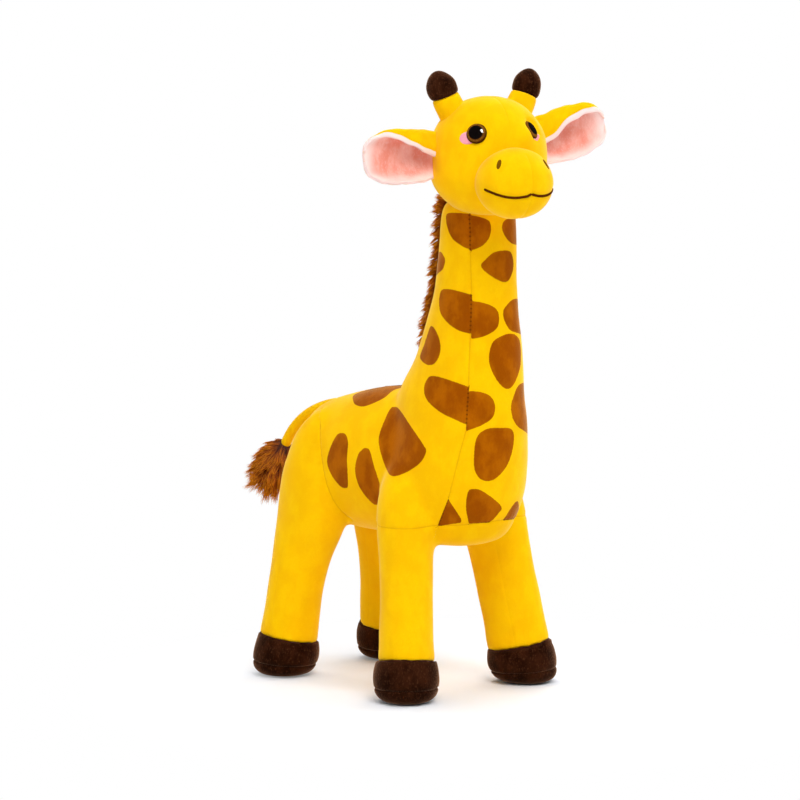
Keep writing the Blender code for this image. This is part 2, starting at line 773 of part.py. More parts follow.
def make_mouth(hand, side, material, parts):
    """Half of the smile: a thread from the middle of the muzzle, down and out to the cheek."""
    points = []
    lift = THREAD_RADIUS + SEAM_GAP
    for step in range(MOUTH_STEPS + 1):
        share = MOUTH_START_SHARE + (1 - MOUTH_START_SHARE) * step / MOUTH_STEPS
        sag = math.sin(math.pi * share**MOUTH_PEAK_SHARE)
        height = -MOUTH_PEAK - (MOUTH_DROP - MOUTH_PEAK) * sag
        height += (MOUTH_PEAK - MOUTH_CORNER) * share**2
        points.append(on_muzzle(side * MOUTH_ROUND * share, height, lift))
    curve = bpy.data.curves.new(f"mouth_{hand}", "CURVE")
    curve.dimensions = "3D"
    curve.bevel_depth = THREAD_RADIUS
    curve.bevel_resolution = 1
    curve.use_fill_caps = True
    spline = curve.splines.new("POLY")
    spline.points.add(len(points) - 1)
    for target, point in zip(spline.points, points):
        target.co = (*point, 1)
    curve.materials.append(material)
    mouth = bpy.data.objects.new(f"mouth_{hand}", curve)
    parts.objects.link(mouth)
    return mouth


def make_nostril(hand, side, material, parts):
    point = on_muzzle(side * NOSTRIL_ROUND, NOSTRIL_RISE, 0)
    half = muzzle_halves(0)
    away = point - muzzle_centre()
    normal = Vector((away.x / half.x**2, away.y / half.y**2, away.z / half.z**2))
    profile = round_disc(NOSTRIL_LENGTH / 2, -OVERRUN / 2, OVERRUN / 2)
    nostril = turned(f"nostril_{hand}", profile, SMALL_SIDES, material, parts)
    narrow = Matrix.Diagonal((NOSTRIL_WIDTH / NOSTRIL_LENGTH, 1, 1, 1))
    nostril.matrix_world = aim(point, normal) @ narrow
    return nostril


def make_ear(hand, side, yellow, pink, head_turn, parts, cutters):
    place = ear_place(side)
    outer = ear_sheet(f"ear_{hand}", side, 0, 0, EAR_CLOTH, yellow, parts)
    root_half = EAR_HEIGHT / 2 * EAR_SHARES[0][1]
    profile = round_disc(EAR_ROOT_RADIUS, -root_half, root_half)
    root = turned(f"ear_root_{hand}", profile, SMALL_SIDES, yellow, cutters)
    make_cutter(root)
    join = outer.modifiers.new("root", "BOOLEAN")
    join.operation = "UNION"
    join.object = root
    settle(outer)
    lining = ear_sheet(f"ear_lining_{hand}", side, EAR_RIM, EAR_LINING_SET, EAR_LINING, pink, parts)
    empty = axis_empty(f"ear_{hand}_flap", place, parts)
    for item in (outer, lining):
        item.matrix_world = place
        ride(item, empty)
    root.matrix_world = place
    ride(empty, head_turn)


def make_head(parts, cutters, neck_cutter, materials):
    """The head is made round its own turning axis, facing -Y, and then set on the neck."""
    yellow = materials["yellow"]
    lift = Vector((0, -NECK_SET, HEAD_HEIGHT))
    neck_seat = neck_cutter.copy()
    neck_seat.name = "neck_seat_cutter"
    cutters.objects.link(neck_seat)
    neck_seat.location = -lift

    head = loft("head", head_rings(0), yellow, parts)
    head_cutter = make_cutter(loft("head_cutter", head_rings(SEAM_GAP), yellow, cutters))
    head_over = make_cutter(loft("head_over", head_rings(SEAM_GAP + FELT), yellow, cutters))
    muzzle = muzzle_ball("muzzle", 0, yellow, parts)
    muzzle_under = make_cutter(muzzle_ball("muzzle_under", SEAM_GAP, yellow, cutters))
    muzzle_over = make_cutter(muzzle_ball("muzzle_over", SEAM_GAP + FELT, yellow, cutters))
    cut(head, [neck_seat])
    cut(muzzle, [head_cutter])
    items = [head, muzzle]
    helpers = [neck_seat, head_cutter, head_over, muzzle_under, muzzle_over]
    for side, hand in ((-1, "right"), (1, "left")):
        eye, washer, blush, pocket, seat = make_eye(side, hand, head, parts, cutters, materials)
        patch(blush, head_over, head_cutter, [seat])
        nostril = make_nostril(hand, side, materials["thread"], parts)
        patch(nostril, muzzle_over, muzzle_under, [])
        stem = horn_rings(side, STEM_START_SHARE, TIP_START_SHARE, STEM_SHARES, HORN_RADIUS, 0)
        stem = loft(f"horn_stem_{hand}", stem, yellow, parts)
        cut(stem, [head_cutter])
        tip = horn_rings(side, TIP_START_SHARE, 1, TIP_SHARES, TIP_RADIUS, SEAM_GAP)
        tip = loft(f"horn_tip_{hand}", tip, materials["brown"], parts)
        mouth = make_mouth(hand, side, materials["thread"], parts)
        items += [eye, washer, blush, nostril, stem, tip, mouth]
        helpers += [pocket, seat]
    for item in items:
        if item.type == "MESH":
            settle(item)
    turn = axis_empty("head_turn", Matrix.Identity(4), parts)
    for item in items + helpers:
        ride(item, turn)
    for side, hand in ((-1, "right"), (1, "left")):
        make_ear(hand, side, yellow, materials["pink"], turn, parts, cutters)
    turn.matrix_world = Matrix.Translation(lift) @ Matrix.Rotation(HEAD_TURN, 4, "Z")


def stand(groups):
    """Carries everything by one empty on the floor, under the middle of the body."""
    whole = bpy.data.objects.new("giraffe", None)
    whole.empty_display_size = TORSO_LENGTH
    bpy.context.scene.collection.objects.link(whole)
    for group in groups:
        for item in group.objects:
            if not item.parent:
                item.parent = whole
    whole.location = (STAND_X, STAND_Y, 0)


def main():
    clear_scene()
    parts = collection("plush_giraffe")
    cutters = collection("cutters")
    materials = {
        "yellow": plush("yellow_plush", (0.95, 0.56, 0.01)),
        "brown": plush("brown_plush", (0.045, 0.015, 0.008)),
        "fur": plush("orange_brown_fur", (0.42, 0.14, 0.03)),
        "pink": plush("pink_ear_plush", (0.90, 0.45, 0.42)),
        "blush": plush("pink_blush_felt", (0.93, 0.32, 0.55)),
        "thread": plush("dark_brown_thread", (0.05, 0.02, 0.01), 0.7),
        "eye": plush("eye_plastic", (0.02, 0.01, 0.008), 0.08),
        "washer": plush("washer_plastic", (0.75, 0.75, 0.72), 0.4),
    }
    neck_cutter = make_body(parts, cutters, materials["yellow"], materials["brown"], materials["fur"])
    make_tail(parts, cutters, materials["yellow"], materials["fur"])
    make_head(parts, cutters, neck_cutter, materials)
    stand((parts, cutters))


main()
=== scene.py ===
import math

import bpy
import numpy as np
from mathutils import Matrix, Vector
from mathutils.bvhtree import BVHTree


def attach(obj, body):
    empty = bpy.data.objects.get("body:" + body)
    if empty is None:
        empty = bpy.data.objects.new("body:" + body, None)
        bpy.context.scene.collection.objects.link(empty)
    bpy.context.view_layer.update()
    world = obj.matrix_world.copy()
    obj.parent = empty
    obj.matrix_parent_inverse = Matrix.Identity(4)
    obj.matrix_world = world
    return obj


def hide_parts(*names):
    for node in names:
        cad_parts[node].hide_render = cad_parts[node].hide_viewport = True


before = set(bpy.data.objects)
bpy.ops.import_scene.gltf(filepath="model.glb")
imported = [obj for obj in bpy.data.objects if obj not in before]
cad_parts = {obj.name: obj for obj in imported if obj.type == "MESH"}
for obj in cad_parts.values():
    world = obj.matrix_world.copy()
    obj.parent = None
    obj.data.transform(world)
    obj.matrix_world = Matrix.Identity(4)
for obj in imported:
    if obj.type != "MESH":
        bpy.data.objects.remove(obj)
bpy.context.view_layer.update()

MM = 0.001
SIDES = {"right": -1, "left": 1}

# Sizes of the stuffed forms, the same as the CAD part's.
STAND = Vector((0.0054, 0.0013, 0))
SEAM = 0.3 * MM

TORSO_LENGTH = 0.178
TORSO_WIDTH = 0.089
TORSO_DEPTH = 0.104
TORSO_FRONT_Y = -0.086
BELLY_HEIGHT = 0.102
# Place along the length, half width, bottom, top.
TORSO_SHARES = (
    (0.00, 0.10, 0.34, 0.52),
    (0.03, 0.38, 0.20, 0.68),
    (0.12, 0.70, 0.07, 0.86),
    (0.30, 0.93, 0.01, 0.985),
    (0.52, 1.00, 0.00, 0.98),
    (0.72, 0.96, 0.02, 0.918),
    (0.86, 0.82, 0.07, 0.845),
    (0.95, 0.56, 0.17, 0.72),
    (0.99, 0.28, 0.29, 0.58),
    (1.00, 0.08, 0.37, 0.49),
)
CHEST_WIDTH = 0.090
CHEST_DEPTH = 0.100
CHEST_HEIGHT = 0.104
CHEST_BACK_SET = 0.056
NECK_RADIUS = 0.0248
NECK_LENGTH = 0.232
NECK_SET = 0.0772
# Height, narrowing across, narrowing fore and aft, fullness, how far it has moved forward.
NECK_SHARES = (
    (-0.014, 0.00, 0.00, 0.34, 0.10),
    (0.010, 0.00, 0.00, 0.66, 0.05),
    (0.070, 0.00, 0.00, 0.86, 0.02),
    (0.150, 0.00, 0.00, 0.98, 0.00),
    (0.250, 0.06, 0.00, 1.00, 0.08),
    (0.340, 0.26, 0.00, 1.00, 0.19),
    (0.435, 0.47, 0.10, 1.00, 0.28),
    (0.547, 0.74, 0.40, 1.00, 0.62),
    (0.700, 0.93, 0.76, 1.00, 0.84),
    (0.830, 0.98, 0.92, 1.00, 0.96),
    (0.930, 1.00, 1.00, 1.00, 1.00),
    (0.975, 1.00, 1.00, 0.93, 1.00),
    (1.000, 1.00, 1.00, 0.60, 1.00),
)
FRONT_STANCE = 0.0551
REAR_STANCE = 0.0500
FRONT_FEET_AHEAD = 0.0661
REAR_FEET_BEHIND = 0.0675
FRONT_LEG_HEIGHT = 0.168
REAR_LEG_HEIGHT = 0.186
LEG_LENGTH_WAYS = 0.0425
LEG_WIDTH = 0.0375
FRONT_SPLAY_OUT = 0.0225
FRONT_SPLAY_FORE = 0.0245
REAR_SPLAY_OUT = 0.0225
REAR_SPLAY_AFT = 0.0185
TOE_OUT = math.radians(40)
FRONT_LEFT_STEP = np.array((1.0, -1.5, 0)) * MM
# Height, length ways, width ways, how far the leg has leaned in.
FRONT_LEG_SHARES = (
    (0.00, 1.00, 1.00, 0.00),
    (0.20, 0.97, 0.96, 0.20),
    (0.45, 0.99, 0.96, 0.47),
    (0.60, 1.06, 1.05, 0.64),
    (0.70, 1.08, 1.08, 0.76),
    (0.80, 0.94, 0.94, 0.90),
    (0.89, 0.68, 0.66, 1.02),
    (0.96, 0.40, 0.38, 1.10),
    (1.00, 0.22, 0.20, 1.14),
)
REAR_LEG_SHARES = (
    (0.00, 0.99, 1.00, 0.00),
    (0.20, 0.95, 0.98, 0.18),
    (0.38, 1.06, 1.00, 0.40),
    (0.52, 1.32, 1.04, 0.64),
    (0.68, 1.40, 1.08, 0.80),
    (0.78, 1.30, 1.02, 0.93),
    (0.86, 1.14, 0.90, 0.98),
    (0.92, 0.86, 0.70, 1.02),
    (0.97, 0.52, 0.46, 1.06),
    (1.00, 0.22, 0.20, 1.10),
)
HOOF_HEIGHT = 0.0260
HOOF_LENGTH_WAYS = 0.0463
HOOF_WIDTH = 0.0438
SOLE_HEIGHT = 0.0090
SOLE_SHARES = (
    (0.00, 0.40),
    (0.04, 0.55),
    (0.12, 0.69),
    (0.28, 0.82),
    (0.52, 0.92),
    (0.82, 0.975),
    (0.95, 0.965),
    (1.00, 0.935),
)
HOOF_SHARES = (
    (0.00, 0.930),
    (0.04, 0.975),
    (0.12, 1.005),
    (0.34, 1.020),
    (0.62, 1.000),
    (0.86, 0.960),
    (0.96, 0.935),
    (1.00, 0.90),
)

HEAD_TURN = math.radians(-21)
HEAD_SET = 0.0785
HEAD_FORWARD = 0.0148
HEAD_HEIGHT = 0.365
HEAD_RADIUS = 0.0385
HEAD_CROWN = 0.0370
HEAD_JAW = 0.0420
# Height from the jaw to the crown, half width.
HEAD_SHARES = (
    (-1.00, 0.12),
    (-0.97, 0.34),
    (-0.88, 0.58),
    (-0.70, 0.83),
    (-0.46, 0.98),
    (-0.20, 1.00),
    (0.00, 1.00),
    (0.30, 0.955),
    (0.57, 0.83),
    (0.78, 0.645),
    (0.91, 0.44),
    (0.98, 0.22),
    (1.00, 0.08),
)
MUZZLE = Vector((0.0510, 0.0520, 0.0465))
MUZZLE_FORWARD = 0.0385
MUZZLE_DROP = 0.0202
MUZZLE_SHIFT = 0.0016

EAR_LENGTH = 0.0530
EAR_HEIGHT = 0.0320
EAR_CUP = 0.0086
EAR_ROUND = math.radians(95)
EAR_SWEEP = {"right": math.radians(18), "left": 0}
EAR_RISE = {"right": math.radians(1), "left": math.radians(16.5)}
EAR_LIFT = {"right": -0.0042, "left": 0.0060}
EAR_ROOT_STAND = 0.0026
HORN_SPREAD = {-1: 0.0254, 1: 0.0238}
HORN_BACK = 0.0045
HORN_RADIUS = 0.0095
HORN_LEAN = 0.0074
HORN_LEAN_BACK = 0.0020
HORN_RISE = {-1: 0.0247, 1: 0.0255}
TIP_RADIUS = {-1: 0.0101, 1: 0.0095}
TIP_START = 0.32
STEM_START = -0.28
STEM_SHARES = ((0.00, 1.10), (0.40, 1.03), (0.75, 0.98), (0.93, 0.94), (1.00, 0.84))
TIP_SHARES = (
    (0.00, 0.84),
    (0.05, 0.93),
    (0.14, 0.985),
    (0.30, 1.00),
    (0.52, 0.96),
    (0.72, 0.80),
    (0.88, 0.54),
    (0.97, 0.28),
    (1.00, 0.06),
)

EYE_RADIUS = 0.0066
EYE_DOME = 0.0032
# Share of the radius and height, from the eye's back up to its rim.
EYE_RIM = ((0.55, -2.4 * MM), (0.9, -1.9 * MM), (1.01, -1.1 * MM), (1.035, -0.5 * MM), (1.02, -0.1 * MM))
EYE_ROUND = {-1: math.radians(35.9), 1: math.radians(29.8)}
EYE_RISE = {-1: 0.0122, 1: 0.0152}
EYE_TURN_OUT = {-1: 0, 1: math.radians(14)}
EYE_LOOK_UP = {-1: 0.0, 1: 0.20}
EYE_SINK = {-1: -0.35 * MM, 1: -1.7 * MM}
# The cloth swells up on the nose's side of the left eye, and dips on its outer side.
BRIDGE_ROUND = math.radians(17.5)
BRIDGE_HEIGHT = 0.0118
BRIDGE_RISE = 2.6 * MM
BRIDGE_SPREAD = 6.5 * MM
SOCKET_SLOPE = 0.9
BLUSH_RADIUS = {-1: 0.0060, 1: 0.0050}
BLUSH_FLAT_SHARE = 0.73
BLUSH_DROP = {-1: 0.0028, 1: 0.0044}
BLUSH_OUT = {-1: 0.0060, 1: 0.0020}

NOSTRIL_LENGTH = 0.0078
NOSTRIL_WIDTH = 0.0031
NOSTRIL_ROUND = math.radians(52)
NOSTRIL_TILT = math.radians(8)
NOSTRIL_RISE = 0.0127
MOUTH_ROUND = {"right": math.radians(76), "left": math.radians(70)}
MOUTH_DROP = {"right": 0.0095, "left": 0.0084}
MOUTH_ASIDE = math.radians(4.5)
MOUTH_CORNER = 0.0036
MOUTH_PEAK = 0.0070

MANE_TOP = 0.334
MANE_BOTTOM = 0.2225
MANE_LINE_BOTTOM = 0.203
TAIL_ROOT_Y = 0.0680
TAIL_ROOT_HEIGHT = 0.1876
TAIL_RADIUS = 0.0038
TAIL_REACH = 0.0540
TAIL_DROP = 0.0315
TAIL_SAG = 0.42
TUFT_LENGTH = 0.0450
TUFT_RADIUS = 0.0160
TUFT_LEAN = math.radians(34)
TUFT_SHARES = (
    (0.00, 0.34),
    (0.10, 0.62),
    (0.30, 0.92),
    (0.52, 1.00),
    (0.74, 0.90),
    (0.90, 0.58),
    (1.00, 0.20),
)

# The camera that took the photograph, 800 pixels square.
PHOTO = 800
CAMERA_TURN = math.radians(-42.403)
CAMERA_AWAY = 2.0
CAMERA_HEIGHT = 0.3704
AIM_ASIDE = -0.0003
AIM_HEIGHT = 0.1943
SENSOR = 36.0
LENS = 130.916

# The brown spots. Each spot is one or more runs of points round its edge. A run of "photo" points holds
# pixels of the photograph, "neck" points a turn from the front in degrees and a height in mm, and "top"
# points mm across and back, seen from above, for what the photograph doesn't show. A spot marked
# "turning" ends in the crease of a leg, where the cloth turns to face that much backward.
# These four lie on the right flank and the back; the left flank mirrors them.
FLANK_SPOTS = (
    (
        ("photo", ((360, 390), (354, 395), (353, 400), (356, 405), (366, 406), (384, 398), (394, 390))),
        ("top", ((-9, -13), (-2, -16), (5, -13), (7, -3), (7, 9), (3, 18), (-4, 22))),
    ),
    (
        (
            "photo",
            (
                (394, 407), (399, 409), (410, 425), (424, 446), (426, 452), (420, 463), (405, 473),
                (392, 476), (386, 468), (380, 450), (379, 436), (386, 417), (391, 408),
            ),
        ),
    ),
    (
        (
            "photo",
            (
                (342, 433), (346, 435), (348, 443), (347, 460), (348, 484), (346, 488), (340, 486),
                (331, 474), (327, 461), (331, 446), (337, 435),
            ),
        ),
    ),
    (
        (
            "photo",
            (
                (366, 448), (370, 451), (374, 466), (381, 489), (379, 499), (376, 505), (368, 499),
                (359, 486), (355, 470), (358, 455), (363, 449),
            ),
        ),
        ("turning", 0.35),
    ),
)
SPOTS = (
    # Under the chin, in two halves on either side of the seam.
    (
        (
            "photo",
            (
                (449, 213), (459, 213), (471, 214), (471, 214), (471, 250), (471, 250), (462, 246),
                (452, 238), (447, 226), (446, 216),
            ),
        ),
    ),
    (
        (
            "photo",
            (
                (470, 215), (470, 215), (480, 217), (489, 221), (491, 229), (489, 238), (482, 246),
                (470, 251), (470, 251),
            ),
        ),
    ),
    (
        ("photo", ((511, 218), (504, 221), (502, 229), (507, 239), (513, 244))),
        ("neck", ((52, 303), (66, 302), (78, 308), (80, 317), (70, 323), (52, 322))),
    ),
    (
        (
            "photo",
            (
                (481, 266), (485, 260), (495, 252), (509, 251), (513, 259), (513, 270), (508, 281),
                (500, 281), (487, 273),
            ),
        ),
    ),
    (
        ("photo", ((441, 252), (445, 259), (444, 266), (441, 271))),
        ("neck", ((-146, 281), (-160, 286), (-162, 293), (-150, 300), (-137, 298))),
    ),
    (
        (
            "photo",
            (
                (447, 289), (458, 291), (472, 295), (472, 295), (472, 334), (472, 334), (460, 331),
                (449, 324), (441, 314), (439, 302), (441, 291),
            ),
        ),
    ),
    (
        (
            "photo",
            (
                (471, 301), (471, 301), (484, 303), (495, 308), (499, 316), (497, 328), (485, 336),
                (471, 339), (471, 339),
            ),
        ),
    ),
    (
        ("photo", ((514, 299), (506, 306), (503, 314), (507, 326), (514, 332))),
        ("neck", ((58, 240), (76, 240), (90, 248), (92, 258), (80, 267), (60, 266))),
    ),
    (
        (
            "photo",
            (
                (504, 335), (513, 334), (519, 339), (521, 351), (520, 368), (514, 384), (507, 389),
                (499, 383), (491, 369), (489, 356), (493, 342),
            ),
        ),
    ),
    (
        (
            "photo",
            (
                (431, 326), (436, 331), (440, 342), (440, 353), (435, 363), (428, 365), (422, 361),
                (420, 356), (424, 345), (428, 333),
            ),
        ),
    ),
    (
        (
            "photo",
            (
                (434, 376), (446, 379), (469, 387), (469, 387), (467, 425), (467, 425), (456, 420),
                (440, 412), (427, 400), (424, 388), (428, 378),
            ),
        ),
    ),
    (
        (
            "photo",
            (
                (468, 391), (468, 391), (480, 392), (490, 396), (495, 405), (493, 417), (484, 424),
                (475, 428), (466, 431), (466, 431),
            ),
        ),
    ),
    (
        ("photo", ((520, 384), (513, 398), (511, 409), (514, 421), (521, 429))),
        ("neck", ((52, 172), (68, 172), (84, 180), (88, 192), (78, 204), (58, 209))),
    ),
    (
        (
            "photo",
            (
                (487, 429), (500, 428), (511, 429), (514, 438), (511, 456), (504, 470), (493, 480),
                (482, 480), (475, 471), (474, 455), (477, 437),
            ),
        ),
    ),
    # The row that the seam under the chest cuts off.
    (
        ("photo", ((448, 499), (448, 499), (461, 519), (459, 523), (459, 523), (437, 527), (437, 527))),
    ),
    (
        (
            "photo",
            (
                (468, 492), (474, 489), (484, 492), (501, 506), (498, 514), (490, 523), (490, 523),
                (469, 524), (469, 524), (466, 508),
            ),
        ),
    ),
    (
        ("photo", ((517, 501), (519, 509), (517, 519), (517, 519), (503, 521), (503, 521), (509, 511))),
    ),
    # The left side of the neck, which the photograph doesn't show.
    (
        ("neck", ((100, 268), (124, 266), (142, 274), (146, 290), (130, 300), (108, 298), (96, 284))),
    ),
    (
        ("neck", ((112, 311), (132, 309), (144, 318), (136, 330), (114, 331), (104, 322))),
    ),
    (
        ("neck", ((112, 215), (132, 212), (146, 222), (146, 238), (128, 250), (110, 244), (102, 228))),
    ),
)
SPOT_EDGE_STEPS = 6
NO_SPOT = -20 * MM
SPOT_REACH_ROUND = 14 * MM
SPOT_MARGIN = 8 * MM
TURNING_WIDTH = 12 * MM
# How squarely the cloth has to face the camera, or a spot's own middle, to take the spot.
SPOT_FACING = {"photo": 0.02, "turning": -0.5, "own": -0.1}

# Seams of the body skin on the right side, as pixels of the photograph. The left side mirrors them.
FRONT_SEAM = (
    (469, 213), (470, 230), (470, 250), (471, 280), (471, 310), (470, 335), (469, 360), (468, 395),
    (466, 430), (459, 456), (453, 480), (448, 500), (438, 527),
)
HAUNCH_SEAM = (
    (322, 408), (320, 425), (320, 440), (322, 462), (327, 486), (333, 500), (342, 512), (352, 520),
)
CHEST_SEAM_HEIGHT = 0.1158
CHEST_SEAM_RISE = 0.0042
CHEST_SEAM_BREADTH = 0.030
CHEST_SEAM_ENDS = (-22 * MM, -12 * MM)
SPINE_SEAM_STARTS = (-20 * MM, -8 * MM)
LEG_SEAM_NEAR = 32 * MM
LEG_SEAM_ENDS = (92 * MM, 102 * MM)
LEG_SEAM_STRENGTH = 0.22
SEAM_WIDTH = 1.3 * MM
SEAM_DEPTH = 0.55 * MM
SEAM_REACH = 10 * MM
SEAM_FULL = 6 * MM
PUCKER_PITCH = 5.5 * MM
PUCKER_DEPTH = 0.12 * MM
PUCKER_REACH = 4 * MM

LUMP_WAVES = 9
LOFT_STEPS = 6
FOOT_STEPS = 4
TRUNK_SIDES = 72
LEG_SIDES = 48
HEAD_SIDES = 96
HORN_SIDES = 48
SKIN_CUFF = (3 * MM, 12 * MM)
SKIN_CUFF_HOLD = 0.12
SKIN_LUMP_SIZE = 34 * MM
SKIN_LUMP_RISE = 0.22 * MM
FOOT_LUMP_SIZE = 16 * MM
FOOT_LUMP_SHARE = 0.010
HOOF_RAGGED_SIZE = 2.4 * MM
HOOF_RAGGED_RISE = 0.5 * MM
HEAD_LUMP_SIZE = 30 * MM
HEAD_LUMP_RISE = 0.25 * MM
EYE_DIMPLE = 0.9 * MM
EYE_DIMPLE_SPREAD = 8.5 * MM
HEAD_SEAM_DEPTH = 0.35 * MM
MUZZLE_STEPS = 64
MUZZLE_LUMP_SIZE = 22 * MM
MUZZLE_LUMP_RISE = 0.2 * MM
SMILE_DIMPLE = 0.55 * MM
SMILE_DIMPLE_SPREAD = 2.4 * MM
NOSTRIL_DIMPLE = 0.5 * MM
NOSTRIL_DIMPLE_SPREAD = 4.5 * MM
MUZZLE_SEAM_DEPTH = 0.4 * MM
HORN_LUMP_SIZE = 12 * MM
HORN_LUMP_SHARE = 0.012
MOUTH_STEPS = 400
MOUTH_THREAD_SIDES = 16
MOUTH_TAPER = {"middle": 3, "corner": 12}
MOUTH_THREAD_HALF = (0.86 * MM, 0.60 * MM)
MOUTH_THREAD_LIFT = 0.12 * MM
MOUTH_STITCH = 0.75 * MM
NOSTRIL_STITCH = 0.55 * MM
FUR_STEPS = 4
MANE_STRANDS = 4800
MANE_TOP_STRANDS = 600
MANE_TOP_REACH = 9 * MM
MANE_LEAST = 1.2 * MM
MANE_MORE_WIDE = 5.2 * MM
MANE_MORE_DEEP = 6.4 * MM
MANE_FUR_LENGTH = 3.4 * MM
MANE_FUR_HALF = 0.34 * MM
TUFT_STRANDS = 4600
TUFT_CLUMPS = 230
TUFT_FUR_HALF = 0.31 * MM
TUFT_CORE_SHARE = 0.72
TUFT_CORE_FULL = 0.68
TUFT_ROOT_FULL = 0.64
PHOTO_NUDGES = 12
PHOTO_MIDDLE = 460

SKIN_VOXEL = 1.4 * MM
SKIN_PASSES = 46
SKIN_PUSH = 0.30 * MM


def eased(rows, steps):
    """The rows of a table with smooth rows put between them."""
    rows = [np.array(row, float) for row in rows]
    last = len(rows) - 1
    result = []
    for index in range(last):
        before = rows[max(index - 1, 0)]
        start = rows[index]
        end = rows[index + 1]
        after = rows[min(index + 2, last)]
        for step in range(steps):
            t = step / steps
            bend = (end - before) * (t - 2 * t**2 + t**3) + (after - start) * (t**3 - t**2)
            result.append(start + (end - start) * (3 * t**2 - 2 * t**3) + bend * 0.5)
    result.append(rows[last])
    return result


def ring(centre, across, along, sides):
    """Points round a centre; across and along are the two half sizes as vectors."""
    turn = np.arange(sides) * (2 * math.pi / sides)
    return (
        np.array(centre)
        + np.cos(turn)[:, None] * np.array(across)
        + np.sin(turn)[:, None] * np.array(along)
    )


def lofted(rings):
    """Points and faces of a closed form through rings of points."""
    sides = len(rings[0])
    points = np.concatenate(rings)
    near = np.arange(sides)
    following = (near + 1) % sides
    faces = []
    for index in range(len(rings) - 1):
        low = index * sides
        high = low + sides
        faces += np.stack((low + near, low + following, high + following, high + near), 1).tolist()
    faces.append(list(reversed(range(sides))))
    faces.append(list(range(len(points) - sides, len(points))))
    return points, faces


def sewn_piece(name, points, faces, material):
    """A mesh object from points and faces, shaded smooth."""
    mesh = bpy.data.meshes.new(name)
    mesh.from_pydata(np.asarray(points).tolist(), [], faces)
    mesh.update()
    mesh.shade_smooth()
    mesh.materials.append(material)
    item = bpy.data.objects.new(name, mesh)
    bpy.context.scene.collection.objects.link(item)
    return item


def points_of(mesh):
    flat = np.empty(len(mesh.vertices) * 3)
    mesh.vertices.foreach_get("co", flat)
    return flat.reshape(-1, 3)


def normals_of(mesh):
    flat = np.empty(len(mesh.vertices) * 3)
    mesh.vertices.foreach_get("normal", flat)
    return flat.reshape(-1, 3)


def place_points(mesh, points):
    mesh.vertices.foreach_set("co", np.asarray(points, np.float32).ravel())
    mesh.update()


def note_values(mesh, name, values):
    """Keeps a number, or three, at each point of a mesh for its material."""
    values = np.asarray(values, np.float32)
    if values.ndim == 1:
        mesh.attributes.new(name, "FLOAT", "POINT").data.foreach_set("value", values)
    else:
        mesh.attributes.new(name, "FLOAT_VECTOR", "POINT").data.foreach_set("vector", values.ravel())


def surface_of(mesh):
    """A search tree over a mesh, for casting points on it."""
    faces = [list(face.vertices) for face in mesh.polygons]
    return BVHTree.FromPolygons([vertex.co for vertex in mesh.vertices], faces)


def stuffed_lumps(points, size, seed):
    """A soft rise and fall over a stuffed form, about -1 to 1, with swells of about that size."""
    maker = np.random.default_rng(seed)
    total = np.zeros(len(points))
    for _ in range(LUMP_WAVES):
        way = maker.normal(size=3)
        way /= np.linalg.norm(way)
        pitch = size * maker.uniform(0.7, 1.5)
        total += np.sin(points @ way * (2 * math.pi / pitch) + maker.uniform(0, 2 * math.pi))
    return total / math.sqrt(LUMP_WAVES)


def smooth_step(value, low, high):
    t = np.clip((value - low) / (high - low), 0, 1)
    return t * t * (3 - 2 * t)


# The forms of the trunk, the neck, the legs and the feet.
def torso_form():
    rings = []
    for along, wide, bottom, top in eased(TORSO_SHARES, LOFT_STEPS):
        centre = (0, TORSO_FRONT_Y + along * TORSO_LENGTH, BELLY_HEIGHT + TORSO_DEPTH * (bottom + top) / 2)
        across = (TORSO_WIDTH / 2 * wide, 0, 0)
        rings.append(ring(centre, across, (0, 0, TORSO_DEPTH * (top - bottom) / 2), TRUNK_SIDES))
    return lofted(rings)


def neck_middle(height):
    """The neck's middle line: how far forward it lies at a height."""
    share = (height - CHEST_HEIGHT) / NECK_LENGTH
    back = np.interp(share, [row[0] for row in NECK_SHARES], [row[4] for row in NECK_SHARES])
    return -(CHEST_BACK_SET + back * (NECK_SET - CHEST_BACK_SET))


def neck_form():
    rings = []
    for height, narrow, slim, full, back in eased(NECK_SHARES, LOFT_STEPS):
        middle = -(CHEST_BACK_SET + back * (NECK_SET - CHEST_BACK_SET))
        centre = (0, middle, CHEST_HEIGHT + height * NECK_LENGTH)
        wide = (CHEST_WIDTH / 2 + narrow * (NECK_RADIUS - CHEST_WIDTH / 2)) * full
        deep = (CHEST_DEPTH / 2 + slim * (NECK_RADIUS - CHEST_DEPTH / 2)) * full
        rings.append(ring(centre, (wide, 0, 0), (0, deep, 0), TRUNK_SIDES))
    return lofted(rings)


def leg_frame(side, front):
    """Where a foot stands, how far its leg leans by its top, its height and two directions."""
    if front:
        foot = np.array((side * FRONT_STANCE, -FRONT_FEET_AHEAD, 0))
        lean = np.array((-side * FRONT_SPLAY_OUT, FRONT_SPLAY_FORE, 0))
        turn = side * TOE_OUT
        if side > 0:
            foot = foot + FRONT_LEFT_STEP
    else:
        foot = np.array((side * REAR_STANCE, REAR_FEET_BEHIND, 0))
        lean = np.array((-side * REAR_SPLAY_OUT, -REAR_SPLAY_AFT, 0))
        turn = 0
    ahead = np.array((math.sin(turn), -math.cos(turn), 0))
    top = FRONT_LEG_HEIGHT if front else REAR_LEG_HEIGHT
    return foot, lean, top, ahead, np.array((-ahead[1], ahead[0], 0))


